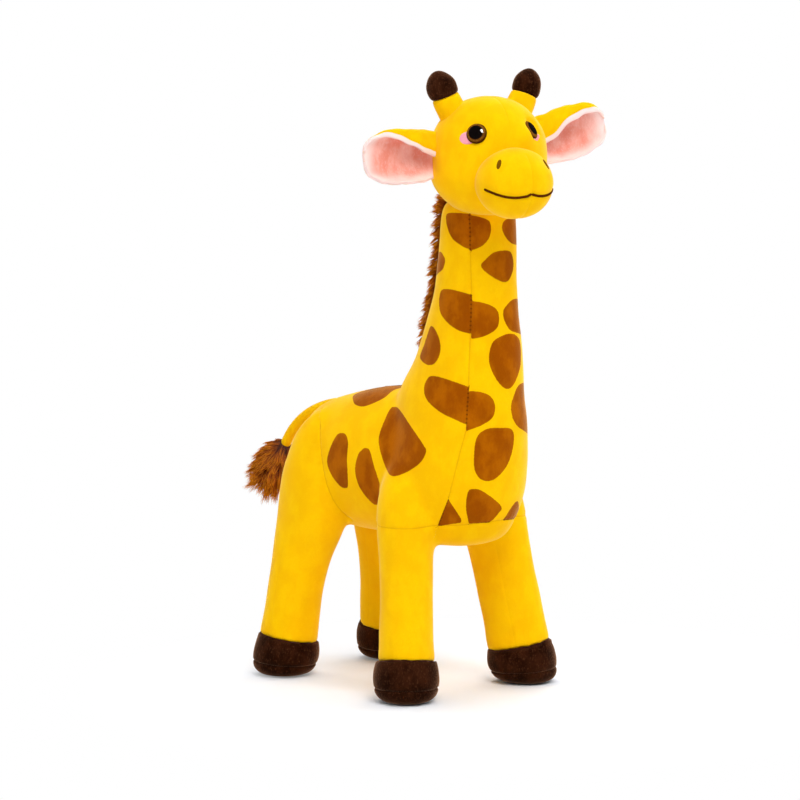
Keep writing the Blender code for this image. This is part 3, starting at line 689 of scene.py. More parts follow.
def leg_form(side, front):
    foot, lean, top, ahead, sideways = leg_frame(side, front)
    start = HOOF_HEIGHT + SEAM
    rings = []
    shares = FRONT_LEG_SHARES if front else REAR_LEG_SHARES
    for height, long, wide, leaned in eased(shares, LOFT_STEPS):
        centre = foot + lean * (leaned * (1 - start / top) + start / top)
        centre[2] = start + height * (top - start)
        reach = ahead * (LEG_LENGTH_WAYS / 2 * long)
        breadth = sideways * (LEG_WIDTH / 2 * wide)
        for half in (reach, breadth):
            half[2] = -half @ lean / top
        rings.append(ring(centre, reach, breadth, LEG_SIDES))
    return lofted(rings)


def foot_form(side, front, low, high, shares):
    """A sole or a hoof, which turns from level on the floor to square to the leg."""
    foot, lean, top, ahead, sideways = leg_frame(side, front)
    rings = []
    for height, size in eased(shares, FOOT_STEPS):
        level = low + height * (high - low)
        centre = foot + lean * (level / top)
        centre[2] = level
        reach = ahead * (HOOF_LENGTH_WAYS / 2 * size)
        breadth = sideways * (HOOF_WIDTH / 2 * size)
        for half in (reach, breadth):
            half[2] = -half @ lean / top * level / HOOF_HEIGHT
        rings.append(ring(centre, reach, breadth, LEG_SIDES))
    return lofted(rings)


# One skin over the trunk, the neck and the legs.
def one_skin(name, forms, voxel):
    """A single closed skin round forms that run into one another."""
    points = np.concatenate([form[0] for form in forms])
    faces = []
    start = 0
    for form_points, form_faces in forms:
        faces += [[corner + start for corner in face] for face in form_faces]
        start += len(form_points)
    mesh = bpy.data.meshes.new(name + "_forms")
    mesh.from_pydata(points.tolist(), [], faces)
    item = bpy.data.objects.new(name + "_forms", mesh)
    bpy.context.scene.collection.objects.link(item)
    remesh = item.modifiers.new("skin", "REMESH")
    remesh.mode = "VOXEL"
    remesh.voxel_size = voxel
    bpy.context.view_layer.update()
    graph = bpy.context.evaluated_depsgraph_get()
    skin = bpy.data.meshes.new_from_object(item.evaluated_get(graph))
    bpy.data.objects.remove(item)
    skin.name = name
    return skin


def drawn_smooth(points, edges, passes, hold):
    """Each point drawn toward the middle of its neighbours, as far as hold lets it."""
    first, second = edges[:, 0], edges[:, 1]
    count = np.bincount(edges.ravel(), minlength=len(points))[:, None]
    for _ in range(passes):
        total = np.empty_like(points)
        for axis in range(3):
            total[:, axis] = np.bincount(first, points[second, axis], len(points))
            total[:, axis] += np.bincount(second, points[first, axis], len(points))
        points = points + 0.5 * hold[:, None] * (total / count - points)
    return points


def photo_ray(x, y):
    """The camera's place and the direction through a pixel of the photograph."""
    origin, ahead, right, up = camera_frame()
    reach = SENSOR / LENS / PHOTO
    return origin, (ahead + right * (x - PHOTO / 2) * reach + up * (PHOTO / 2 - y) * reach).normalized()


def photo_places(points):
    """The pixels at which points show in the photograph, and the size of a pixel there."""
    origin, ahead, right, up = camera_frame()
    away = points - np.array(origin)
    pixel = away @ np.array(ahead) * (SENSOR / LENS / PHOTO)
    across = PHOTO / 2 + away @ np.array(right) / pixel
    down = PHOTO / 2 - away @ np.array(up) / pixel
    return np.stack((across, down), 1), pixel


def camera_frame():
    """The camera's place, and the directions ahead of it, to its right and up."""
    origin, target = camera_places()
    ahead = (target - origin).normalized()
    right = ahead.cross(Vector((0, 0, 1))).normalized()
    return origin, ahead, right, right.cross(ahead)


def camera_places():
    """Where the camera stands and what it aims at."""
    around = Vector((math.sin(CAMERA_TURN), -math.cos(CAMERA_TURN), 0))
    across = Vector((math.cos(CAMERA_TURN), math.sin(CAMERA_TURN), 0))
    origin = STAND + around * CAMERA_AWAY + Vector((0, 0, CAMERA_HEIGHT))
    target = STAND + across * AIM_ASIDE + Vector((0, 0, AIM_HEIGHT))
    return origin, target


def cast(surface, kind, pair):
    """A point of the skin, given as SPOTS says."""
    if kind == "photo":
        for nudge in range(PHOTO_NUDGES):
            shift = nudge if pair[0] < PHOTO_MIDDLE else -nudge
            hit = surface.ray_cast(*photo_ray(pair[0] + shift, pair[1]))[0]
            if hit is not None:
                return hit
        return None
    u, v = pair
    if kind == "top":
        return surface.ray_cast(STAND + Vector((u * MM, v * MM, 1)), Vector((0, 0, -1)))[0]
    turn = math.radians(u)
    middle = STAND + Vector((0, neck_middle(v * MM), v * MM))
    out = Vector((math.sin(turn), -math.cos(turn), 0))
    return surface.ray_cast(middle + out, -out)[0]


def rounded(corners):
    """A closed smooth line through its corners, which may be flat or solid places."""
    count = len(corners)
    line = []
    for index in range(count):
        before, start, end, after = (corners[(index + step - 1) % count] for step in range(4))
        for step in range(SPOT_EDGE_STEPS):
            t = step / SPOT_EDGE_STEPS
            bend = (end - before) * (t - 2 * t**2 + t**3) + (after - start) * (t**3 - t**2)
            line.append(start + (end - start) * (3 * t**2 - 2 * t**3) + bend * 0.5)
    return np.array(line)


def round_edge(surface, corners):
    """A closed smooth line on the skin through its corner points."""
    line = rounded([np.array(corner) for corner in corners if corner is not None])
    return np.array([surface.find_nearest(Vector(point))[0] for point in line])


def inside_by(points, loop):
    """How far each flat point lies inside a closed flat line, less than zero outside it."""
    way = np.roll(loop, -1, 0) - loop
    nearest = np.full(len(points), np.inf)
    crossings = np.zeros(len(points), int)
    for (x, y), (dx, dy) in zip(loop, way):
        px = points[:, 0] - x
        py = points[:, 1] - y
        share = np.clip((px * dx + py * dy) / max(dx * dx + dy * dy, 1e-12), 0, 1)
        nearest = np.minimum(nearest, np.hypot(px - share * dx, py - share * dy))
        if abs(dy) > 1e-12:
            crosses = ((py >= 0) != (py - dy >= 0)) & (px - dx * py / dy < 0)
            crossings += crosses
    return np.where(crossings % 2 == 1, nearest, -nearest)


def spot_reaches(points, normals, surface, spots):
    """How far each point of the skin lies inside a brown spot."""
    reach = np.full(len(points), NO_SPOT)
    places, pixel = photo_places(points)
    camera = np.array(camera_places()[0])
    for runs in spots:
        if runs[0][0] == "photo" and runs[-1][0] in ("photo", "turning"):
            loop = rounded([np.array(pair, float) for pair in runs[0][1]])
            middle = loop.mean(0)
            centre = np.array(cast(surface, "photo", middle))
            toward = (camera - centre) / np.linalg.norm(camera - centre)
            wide = np.linalg.norm(loop - middle, axis=1).max() * pixel.mean() + SPOT_REACH_ROUND
            near = np.linalg.norm(points - centre, axis=1) < wide
            near = np.flatnonzero(near & (normals @ toward > SPOT_FACING[runs[-1][0]]))
            found = inside_by(places[near], loop) * pixel[near]
            if runs[-1][0] == "turning":
                found = np.minimum(found, (runs[-1][1] - normals[near, 1]) * TURNING_WIDTH)
            reach[near] = np.maximum(reach[near], found)
            continue
        corners = [cast(surface, kind, pair) for kind, run in runs for pair in run]
        line = round_edge(surface, corners)
        centre = line.mean(0)
        spokes = line - centre
        facing = np.cross(spokes, np.roll(spokes, -1, 0)).sum(0)
        facing /= np.linalg.norm(facing)
        outward = np.array(surface.find_nearest(Vector(centre))[1])
        if facing @ outward < 0:
            facing = -facing
        across = np.cross(facing, (0.0, 0.31, 0.95))
        across /= np.linalg.norm(across)
        along = np.cross(facing, across)
        plane = np.stack((across, along), 1)
        wide = np.linalg.norm(spokes, axis=1).max() + SPOT_MARGIN
        near = np.linalg.norm(points - centre, axis=1) < wide
        near = np.flatnonzero(near & (normals @ facing > SPOT_FACING["own"]))
        found = inside_by((points[near] - centre) @ plane, spokes @ plane)
        reach[near] = np.maximum(reach[near], found)
    return reach


def flank_mirrored(points):
    """Points or directions of one flank as they lie on the other."""
    return points * np.array((-1, 1, 1))


def seam_reaches(points, normals, line):
    """For each point: which side of a seam it is on and how far, how far along, and how much it counts."""
    best = np.full(len(points), np.inf)
    signed = np.zeros(len(points))
    run = np.zeros(len(points))
    walked = 0.0
    for start, end in zip(line, line[1:]):
        way = end - start
        length = np.linalg.norm(way)
        way = way / length
        away = points - start
        share = np.clip(away @ way, 0, length)
        apart = away - share[:, None] * way
        distance = np.linalg.norm(apart, axis=1)
        side = np.einsum("ij,ij->i", apart, np.cross(normals, way))
        closer = distance < best
        best = np.where(closer, distance, best)
        signed = np.where(closer, np.where(side < 0, -distance, distance), signed)
        run = np.where(closer, walked + share, run)
        walked += length
    weight = 1 - smooth_step(best, SEAM_FULL, SEAM_REACH)
    return signed, run, weight


def mirrored(line):
    """A line of the right side as it lies on the left."""
    result = line.copy()
    result[:, 0] = 2 * STAND.x - result[:, 0]
    return result[::-1]


def sewn_lines(points, normals, surface):
    """The seams of the skin: those drawn as lines, and those that lie in a plane."""
    drawn = np.zeros((len(points), 3))
    for table in (FRONT_SEAM, HAUNCH_SEAM):
        line = np.array([cast(surface, "photo", pair) for pair in table])
        for each in (line, mirrored(line)):
            signed, run, weight = seam_reaches(points, normals, each)
            better = weight > drawn[:, 2]
            drawn[better] = np.stack((signed, run, weight), 1)[better]

    flat = np.zeros((len(points), 3))
    x, y, z = points.T
    # Round the chest and the front legs.
    level = z - CHEST_SEAM_HEIGHT - CHEST_SEAM_RISE * np.exp(-(((x - STAND.x) / CHEST_SEAM_BREADTH) ** 2))
    ahead = 1 - smooth_step(y, *CHEST_SEAM_ENDS)
    weight = (1 - smooth_step(abs(level), SEAM_FULL, SEAM_REACH)) * ahead
    flat[:] = np.stack((level, np.arctan2(x - STAND.x, -(y + 0.05)) * 50 * MM, weight), 1)
    # Along the spine and the belly.
    middle = x - STAND.x
    weight = 1 - smooth_step(abs(middle), SEAM_FULL, SEAM_REACH)
    weight = weight * smooth_step(y, *SPINE_SEAM_STARTS) * (abs(normals[:, 2]) > 0.05)
    better = weight > flat[:, 2]
    flat[better] = np.stack((middle, y, weight), 1)[better]
    # Down the inside and outside of each leg.
    for side in SIDES.values():
        for front in (True, False):
            foot, lean, top, forward = leg_frame(side, front)[:4]
            centre = np.array(STAND) + foot + np.outer(z / top, lean)
            away = points - centre
            away[:, 2] = 0
            across = away @ forward
            near = np.linalg.norm(away, axis=1) < LEG_SEAM_NEAR
            weight = (1 - smooth_step(abs(across), SEAM_FULL, SEAM_REACH)) * near
            weight = weight * (1 - smooth_step(z, *LEG_SEAM_ENDS)) * LEG_SEAM_STRENGTH
            better = weight > flat[:, 2]
            flat[better] = np.stack((across, z, weight), 1)[better]
    return drawn, flat


def pull_seams(points, normals, *seams):
    """Draws the cloth in along its seams, with small puckers across them."""
    for seam in seams:
        signed, run, weight = seam.T
        groove = SEAM_DEPTH * np.exp(-((signed / SEAM_WIDTH) ** 2))
        pucker = PUCKER_DEPTH * np.sin(run * (2 * math.pi / PUCKER_PITCH))
        pucker = pucker * np.exp(-((signed / PUCKER_REACH) ** 2))
        points = points - normals * ((groove + pucker) * weight)[:, None]
    return points


def make_body_skin(material):
    forms = [torso_form(), neck_form()]
    forms += [leg_form(side, front) for side in SIDES.values() for front in (True, False)]
    mesh = one_skin("body_skin", forms, SKIN_VOXEL)
    points = points_of(mesh) + np.array(STAND)
    edges = np.empty(len(mesh.edges) * 2, np.int32)
    mesh.edges.foreach_get("vertices", edges)
    cuff = smooth_step(points[:, 2], HOOF_HEIGHT + SKIN_CUFF[0], HOOF_HEIGHT + SKIN_CUFF[1])
    hold = SKIN_CUFF_HOLD + (1 - SKIN_CUFF_HOLD) * cuff
    points = drawn_smooth(points, edges.reshape(-1, 2), SKIN_PASSES, hold)
    place_points(mesh, points)
    normals = normals_of(mesh)
    lumps = stuffed_lumps(points, SKIN_LUMP_SIZE, 4)
    points = points + normals * (SKIN_PUSH + SKIN_LUMP_RISE * lumps)[:, None]
    place_points(mesh, points)
    normals = normals_of(mesh)
    surface = surface_of(mesh)
    reach = spot_reaches(points, normals, surface, FLANK_SPOTS + SPOTS)
    across = flank_mirrored(points - np.array(STAND)) + np.array(STAND)
    reach = np.maximum(reach, spot_reaches(across, flank_mirrored(normals), surface, FLANK_SPOTS))
    note_values(mesh, "spot_reach", reach)
    drawn, flat = sewn_lines(points, normals, surface)
    note_values(mesh, "drawn_seam", drawn)
    note_values(mesh, "flat_seam", flat)
    place_points(mesh, pull_seams(points, normals, drawn, flat))
    mesh.materials.clear()
    mesh.materials.append(material)
    mesh.shade_smooth()
    skin = bpy.data.objects.new("body_skin", mesh)
    bpy.context.scene.collection.objects.link(skin)
    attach(skin, "body")
    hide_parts("torso", "neck", *[f"{end}_leg_{hand}" for end in ("front", "rear") for hand in SIDES])
    return surface


def make_feet(material):
    for hand, side in SIDES.items():
        for front, end in ((True, "front"), (False, "rear")):
            for piece, low, high, shares in (
                ("sole", 0, SOLE_HEIGHT, SOLE_SHARES),
                ("hoof", SOLE_HEIGHT, HOOF_HEIGHT + SEAM, HOOF_SHARES),
            ):
                points, faces = foot_form(side, front, low, high, shares)
                points = points + np.array(STAND)
                lumps = stuffed_lumps(points, FOOT_LUMP_SIZE, 20 + side + 3 * front)
                lifted = smooth_step(points[:, 2], 0, 3 * MM)
                middle = points.mean(0)
                out = points - middle
                out[:, 2] = 0
                points = points + out * (FOOT_LUMP_SHARE * lumps * lifted)[:, None]
                # The seam with the leg is uneven where the pile runs over it.
                ragged = smooth_step(points[:, 2], HOOF_HEIGHT - 2 * MM, HOOF_HEIGHT)
                pile = stuffed_lumps(points, HOOF_RAGGED_SIZE, 60 + side)
                points[:, 2] += HOOF_RAGGED_RISE * ragged * pile
                item = sewn_piece(f"plush_{end}_{piece}_{hand}", points, faces, material)
                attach(item, "body")
                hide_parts(f"{end}_{piece}_{hand}")


# The head is made about its own turning axis, facing -Y, and is then set on the neck.
HEAD_STAND = STAND + Vector((0, -HEAD_SET, HEAD_HEIGHT))
HEAD_PLACE = Matrix.Translation(HEAD_STAND) @ Matrix.Rotation(HEAD_TURN, 4, "Z")


def on_head(points):
    """Points of the head's own frame, set in the row frame."""
    turn = np.array(HEAD_PLACE.to_3x3())
    return np.asarray(points) @ turn.T + np.array(HEAD_PLACE.translation)


def muzzle_middle():
    return np.array((MUZZLE_SHIFT, -HEAD_FORWARD - MUZZLE_FORWARD, -MUZZLE_DROP))


def on_muzzle(turn, height, lift):
    """A point on the muzzle, turned so far round from its front, and up from its middle."""
    half = np.array(MUZZLE) / 2 + lift
    reach = math.sqrt(1 - (height / half[2]) ** 2)
    away = np.array((math.sin(turn) * half[0] * reach, -math.cos(turn) * half[1] * reach, height))
    return muzzle_middle() + away


def muzzle_facing(point):
    """The direction square to the muzzle at a point on it."""
    away = (point - muzzle_middle()) / (np.array(MUZZLE) / 2) ** 2
    return away / np.linalg.norm(away)


def eye_place(side):
    """The eye's place on the head: local +Z points out of the head, +Y nearly up."""
    turn = EYE_ROUND[side]
    outward = Vector((side * math.sin(turn), -math.cos(turn), 0))
    level = math.sqrt(HEAD_RADIUS**2 - EYE_RISE[side] ** 2)
    point = Vector((0, -HEAD_FORWARD, EYE_RISE[side])) + outward * level
    turn += EYE_TURN_OUT[side]
    rise = EYE_RISE[side] / level + EYE_LOOK_UP[side]
    ahead = Vector((side * math.sin(turn), -math.cos(turn), rise)).normalized()
    sideways = Vector((0, 0, 1)).cross(ahead).normalized()
    turn = Matrix((sideways, ahead.cross(sideways), ahead)).transposed()
    return Matrix.Translation(point) @ turn.to_4x4()


def mouth_point(hand, share, lift):
    sag = math.sin(math.pi * share**0.8)
    height = -MOUTH_PEAK - (MOUTH_DROP[hand] - MOUTH_PEAK) * sag
    height += (MOUTH_PEAK - MOUTH_CORNER) * share**2
    turn = SIDES[hand] * MOUTH_ROUND[hand] * share + MOUTH_ASIDE * (1 - share)
    return on_muzzle(turn, height, lift)


def eye_socket(points):
    """Presses the cloth down on the outer side of the left eye, so that the eye stands clear."""
    place = eye_place(1)
    turn = np.array(place.to_3x3())
    local = (points - np.array(place.translation)) @ turn
    away = np.hypot(local[:, 0], local[:, 1])
    limit = EYE_SINK[1] - 0.4 * MM + SOCKET_SLOPE * np.maximum(0, away - EYE_RADIUS)
    over = np.maximum(0, local[:, 2] - limit) * (away < 3 * EYE_RADIUS)
    over *= smooth_step(local[:, 0], -2.5 * MM, 1.5 * MM)
    return points - turn[:, 2] * over[:, None]


def make_head_skin(material):
    rings = []
    for height, full in eased(HEAD_SHARES, LOFT_STEPS):
        reach = HEAD_CROWN if height > 0 else HEAD_JAW
        half = HEAD_RADIUS * full
        rings.append(ring((0, -HEAD_FORWARD, height * reach), (half, 0, 0), (0, half, 0), HEAD_SIDES))
    points, faces = lofted(rings)
    centre = np.array((0, -HEAD_FORWARD, 0))
    out = (points - centre) / np.linalg.norm(points - centre, axis=1)[:, None]
    rise = HEAD_LUMP_RISE * stuffed_lumps(points, HEAD_LUMP_SIZE, 8)
    for side in SIDES.values():
        middle = np.array(eye_place(side).translation)
        apart = np.linalg.norm(points - middle, axis=1)
        rise -= EYE_DIMPLE * np.exp(-((apart / EYE_DIMPLE_SPREAD) ** 2))
    level = math.sqrt(HEAD_RADIUS**2 - BRIDGE_HEIGHT**2)
    ahead = (math.sin(BRIDGE_ROUND) * level, -math.cos(BRIDGE_ROUND) * level, BRIDGE_HEIGHT)
    bridge = centre + np.array(ahead)
    apart = np.linalg.norm(points - bridge, axis=1)
    rise += BRIDGE_RISE * np.exp(-((apart / BRIDGE_SPREAD) ** 2))
    points = points + out * rise[:, None]
    points = eye_socket(points)
    # The seam over the middle of the head.
    middle = points[:, 0]
    weight = (1 - smooth_step(abs(middle), SEAM_FULL, SEAM_REACH)) * 0.6
    weight = weight * smooth_step(points[:, 2], 12 * MM, 26 * MM)
    seam = np.stack((middle, points[:, 2] + points[:, 1], weight), 1)
    groove = HEAD_SEAM_DEPTH * np.exp(-((middle / SEAM_WIDTH) ** 2)) * weight
    points = points - out * groove[:, None]
    item = sewn_piece("head_skin", on_head(points), faces, material)
    note_values(item.data, "drawn_seam", seam)
    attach(item, "head")
    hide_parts("head")
    return surface_of(item.data)


def make_muzzle_skin(material):
    half = np.array(MUZZLE) / 2
    rings = []
    for step in range(1, MUZZLE_STEPS):
        turn = math.pi * step / MUZZLE_STEPS
        level = -math.cos(turn)
        wide = math.sin(turn)
        centre = muzzle_middle() + np.array((0, 0, level * half[2]))
        rings.append(ring(centre, (half[0] * wide, 0, 0), (0, half[1] * wide, 0), HEAD_SIDES))
    points, faces = lofted(rings)
    middle = muzzle_middle()
    out = (points - middle) / half**2
    out /= np.linalg.norm(out, axis=1)[:, None]
    rise = MUZZLE_LUMP_RISE * stuffed_lumps(points, MUZZLE_LUMP_SIZE, 11)
    for hand in SIDES:
        line = np.array([mouth_point(hand, share / 20, 0) for share in range(21)])
        apart = np.min(np.linalg.norm(points[:, None] - line[None], axis=2), axis=1)
        rise -= SMILE_DIMPLE * np.exp(-((apart / SMILE_DIMPLE_SPREAD) ** 2))
        nostril = on_muzzle(SIDES[hand] * NOSTRIL_ROUND, NOSTRIL_RISE, 0)
        apart = np.linalg.norm(points - nostril, axis=1)
        rise -= NOSTRIL_DIMPLE * np.exp(-((apart / NOSTRIL_DIMPLE_SPREAD) ** 2))
    aside = points[:, 0] - MUZZLE_SHIFT - math.sin(MOUTH_ASIDE) * MUZZLE[0] / 2
    weight = (1 - smooth_step(abs(aside), SEAM_FULL, SEAM_REACH)) * (points[:, 2] < middle[2] + 19 * MM)
    seam = np.stack((aside, points[:, 2], weight * 0.45), 1)
    rise -= MUZZLE_SEAM_DEPTH * np.exp(-((aside / SEAM_WIDTH) ** 2)) * weight
    points = points + out * rise[:, None]
    item = sewn_piece("muzzle_skin", on_head(points), faces, material)
    note_values(item.data, "drawn_seam", seam)
    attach(item, "head")
    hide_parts("muzzle")
    return surface_of(item.data)


def horn_axis(side, share):
    lean = HORN_LEAN * (1 - (1 - share) ** 2)
    spread = HORN_SPREAD[side]
    base = math.sqrt(HEAD_RADIUS**2 - spread**2 - HORN_BACK**2)
    across = side * (spread + lean)
    back = HORN_BACK + HORN_LEAN_BACK * share
    return np.array((across, back - HEAD_FORWARD, base + HORN_RISE[side] * share))


def make_horns(stem_material, tip_material):
    for hand, side in SIDES.items():
        for piece, start, end, shares, radius, material, slot in (
            ("stem", STEM_START, TIP_START, STEM_SHARES, HORN_RADIUS, stem_material, "yellow_plush"),
            ("tip", TIP_START, 1, TIP_SHARES, TIP_RADIUS[side], tip_material, "dark_brown_plush"),
        ):
            rings = []
            for along, full in eased(shares, LOFT_STEPS):
                share = start + (end - start) * along
                centre = horn_axis(side, share)
                ahead = horn_axis(side, share + 0.02) - centre
                ahead /= np.linalg.norm(ahead)
                across = np.array((ahead[2], 0, -ahead[0])) * radius * full
                rings.append(ring(centre, across, (0, radius * full, 0), HORN_SIDES))
            points, faces = lofted(rings)
            lumps = stuffed_lumps(points, HORN_LUMP_SIZE, 30 + side)
            middle = points.mean(0)
            points = points + (points - middle) * (HORN_LUMP_SHARE * lumps)[:, None]
            item = sewn_piece(f"plush_horn_{piece}_{hand}", on_head(points), faces, material)
            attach(item, "head")
            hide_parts(f"horn_{piece}_{hand}")


EAR_ALONG = 48
EAR_ACROSS = 56
EAR_INNER = -7.0 * MM
EAR_CURL = math.radians(12)
EAR_FOLD_REACH = 7.0 * MM
EAR_EDGE = 7.0 * MM
EAR_ROUNDING = 4.0 * MM
# Place along the ear, half height, depth of the cup, degrees that the top folds over, rise.
EAR_FOLDS = (
    (0.00, 0.86, 0.30, 92, 1.6),
    (0.12, 0.93, 0.55, 88, 1.3),
    (0.28, 1.00, 0.90, 76, 0.7),
    (0.44, 1.04, 1.00, 58, 0.2),
    (0.60, 1.04, 0.92, 40, 0.0),
    (0.76, 0.98, 0.74, 25, 0.0),
    (0.87, 0.84, 0.52, 15, 0.1),
    (0.94, 0.65, 0.36, 9, 0.2),
    (0.98, 0.43, 0.24, 6, 0.3),
    (1.00, 0.16, 0.12, 4, 0.3),
)
EAR_FOLD_MORE = {"right": 1.0, "left": 1.06}
EAR_TIP_FOLD = {"right": math.radians(3), "left": math.radians(24)}
EAR_LONGER = {"right": -1.4 * MM, "left": -3.6 * MM}
# Axis, size, rise and seed of the swells in the ear's cloth.
EAR_SWELLS = ((1, 19 * MM, 0.55 * MM, 41), (2, 15 * MM, 0.45 * MM, 51))


def ear_place(hand):
    """The ear's root on the head: local +X or -X runs out along the ear."""
    side = SIDES[hand]
    outward = Vector((side * math.sin(EAR_ROUND), -math.cos(EAR_ROUND), 0))
    stand = HEAD_RADIUS + EAR_ROOT_STAND
    level = math.sqrt(stand**2 - EAR_LIFT[hand] ** 2)
    point = Vector((0, -HEAD_FORWARD, EAR_LIFT[hand])) + outward * level
    spin = Matrix.Rotation(side * (EAR_ROUND - EAR_SWEEP[hand] - math.pi / 2), 4, "Z")
    tip_up = Matrix.Rotation(-side * EAR_RISE[hand], 4, "Y")
    return HEAD_PLACE @ Matrix.Translation(point) @ spin @ tip_up


def ear_cloth(hand):
    """The ear's folded cloth as a grid of points, with its outward side at each, and how far
    each point lies in from the rim."""
    folds = np.array(eased(EAR_FOLDS, 8))
    along = np.linspace(0, 1, EAR_ALONG + 1)
    along = 1 - (1 - along) ** 1.9
    tall, cup, fold, rise = (np.interp(along, folds[:, 0], folds[:, column]) for column in (1, 2, 3, 4))
    length = EAR_LENGTH + EAR_LONGER[hand]
    reach = EAR_INNER + (length - EAR_INNER) * along
    half = EAR_HEIGHT / 2 * tall
    share = (1 - np.cos(np.linspace(0, math.pi, EAR_ACROSS + 1))) / 2
    share = share * 0.6 + np.linspace(0, 1, EAR_ACROSS + 1) * 0.4
    low = -math.pi / 2 - EAR_CURL
    high = math.pi / 2 + np.radians(fold) * EAR_FOLD_MORE[hand]
    high = high + EAR_TIP_FOLD[hand] * smooth_step(along, 0.4, 0.85)
    turn = low + (high - low)[:, None] * share[None]
    depth = -np.cos(turn)
    ahead = np.where(depth > 0, EAR_FOLD_REACH * (0.4 + 0.6 * cup[:, None]), EAR_CUP * cup[:, None]) * depth
    level = half[:, None] * np.sin(turn) + rise[:, None] * MM
    cloth = np.stack((np.repeat(reach[:, None], EAR_ACROSS + 1, 1), -ahead, level), 2)
    outward = np.cross(np.gradient(cloth, axis=1), np.gradient(cloth, axis=0))
    outward /= np.linalg.norm(outward, axis=2)[:, :, None]
    steps = np.linalg.norm(np.diff(cloth, axis=1), axis=2)
    walked = np.concatenate((np.zeros((len(along), 1)), np.cumsum(steps, 1)), 1)
    ends = np.repeat((length - reach)[:, None], EAR_ACROSS + 1, 1)
    # A soft least of the distances from the two long edges and the tip.
    aparts = (walked, walked[:, -1:] - walked, ends)
    rim = sum(np.maximum(apart, 0.01 * MM) ** -4.0 for apart in aparts) ** -0.25
    return cloth, outward, rim


def uphill(surface, height):
    """The unit direction on a grid of points in which a height over it rises fastest."""
    down, right = np.gradient(surface, axis=0), np.gradient(surface, axis=1)
    rise_down, rise_right = np.gradient(height, axis=0), np.gradient(height, axis=1)
    dd, dr, rr = (down**2).sum(2), (down * right).sum(2), (right**2).sum(2)
    way = down * (rr * rise_down - dr * rise_right)[..., None]
    way = way + right * (dd * rise_right - dr * rise_down)[..., None]
    return way / np.maximum(np.linalg.norm(way, axis=2), 1e-15)[..., None]


def ear_layer(hand, low, high, rim_low, rim_high, turned_edge):
    """A closed and puffed layer of an ear between two depths of its cloth, and its two depths
    along the rim."""
    cloth, outward, rim = ear_cloth(hand)
    edge = np.clip(1 - rim / EAR_EDGE, 0, 1) ** 1.5
    cloth = cloth - uphill(cloth, rim) * (turned_edge * edge[..., None])
    swell = np.sqrt(np.clip(1 - (1 - np.clip(rim / EAR_ROUNDING, 0, 1)) ** 2, 0.02, 1))
    low = low + (rim_low - low) * edge
    high = high + (rim_high - high) * edge
    middle = (low + high) / 2
    layers = [cloth + outward * (middle + (depth - middle) * swell)[..., None] for depth in (low, high)]
    points = np.concatenate([layer.reshape(-1, 3) for layer in layers])
    columns = EAR_ACROSS + 1
    count = columns * (EAR_ALONG + 1)
    faces = []
    for row in range(EAR_ALONG):
        for column in range(EAR_ACROSS):
            a = row * columns + column
            quad = [a, a + columns, a + columns + 1, a + 1]
            faces.append([corner + count for corner in reversed(quad)])
            faces.append(quad)
    border = list(range(columns))
    border += [row * columns + EAR_ACROSS for row in range(1, EAR_ALONG + 1)]
    border += [EAR_ALONG * columns + column for column in range(EAR_ACROSS - 1, -1, -1)]
    border += [row * columns for row in range(EAR_ALONG - 1, 0, -1)]
    for start, end in zip(border, border[1:] + border[:1]):
        faces.append([start, end, end + count, start + count])
    if SIDES[hand] < 0:
        points = points * np.array((-1, 1, 1))
        faces = [face[::-1] for face in faces]
    return points, faces, np.tile(rim.ravel(), 2)


def make_ears(back_material, lining_material):
    for hand, side in SIDES.items():
        place = ear_place(hand)
        turn = np.array(place.to_3x3())
        for piece, depths, turned_edge, material, slot, node in (
            ("ear_back", (-0.3, 2.0, -0.2, 0.5), -1.5 * MM, back_material, "yellow_plush", "ear"),
            ("ear_cup", (-2.6, 0.4, -2.2, 1.5), 0.7 * MM, lining_material, "pink_plush", "ear_lining"),
        ):
            depths = [depth * MM for depth in depths]
            points, faces, rim = ear_layer(hand, *depths, turned_edge)
            for axis, size, rise, seed in EAR_SWELLS:
                points[:, axis] += rise * stuffed_lumps(points, size, seed + side)
            points = points @ turn.T + np.array(place.translation)
            item = sewn_piece(f"{piece}_{hand}", points, faces, material)
            note_values(item.data, "rim_reach", rim)
            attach(item, f"ear_{hand}")
            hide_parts(f"{node}_{hand}")


def make_eyes(material):
    for hand, side in SIDES.items():
        rows = [(EYE_RADIUS * share, height) for share, height in EYE_RIM]
        for step in range(1, 25):
            turn = math.pi / 2 * step / 25
            rows.append((EYE_RADIUS * math.cos(turn), EYE_DOME * math.sin(turn)))
        rings = [
            ring((0, 0, height + EYE_SINK[side]), (radius, 0, 0), (0, radius, 0), 64)
            for radius, height in rows
        ]
        points, faces = lofted(rings)
        away = np.hypot(points[:, 0], points[:, 1]) / EYE_RADIUS
        place = HEAD_PLACE @ eye_place(side)
        flat = points.copy()
        points = points @ np.array(place.to_3x3()).T + np.array(place.translation)
        item = sewn_piece(f"bead_eye_{hand}", points, faces, material)
        note_values(item.data, "eye_ring", away)
        note_values(item.data, "eye_flat", flat / EYE_RADIUS)
        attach(item, "head")
        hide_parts(f"eye_{hand}")


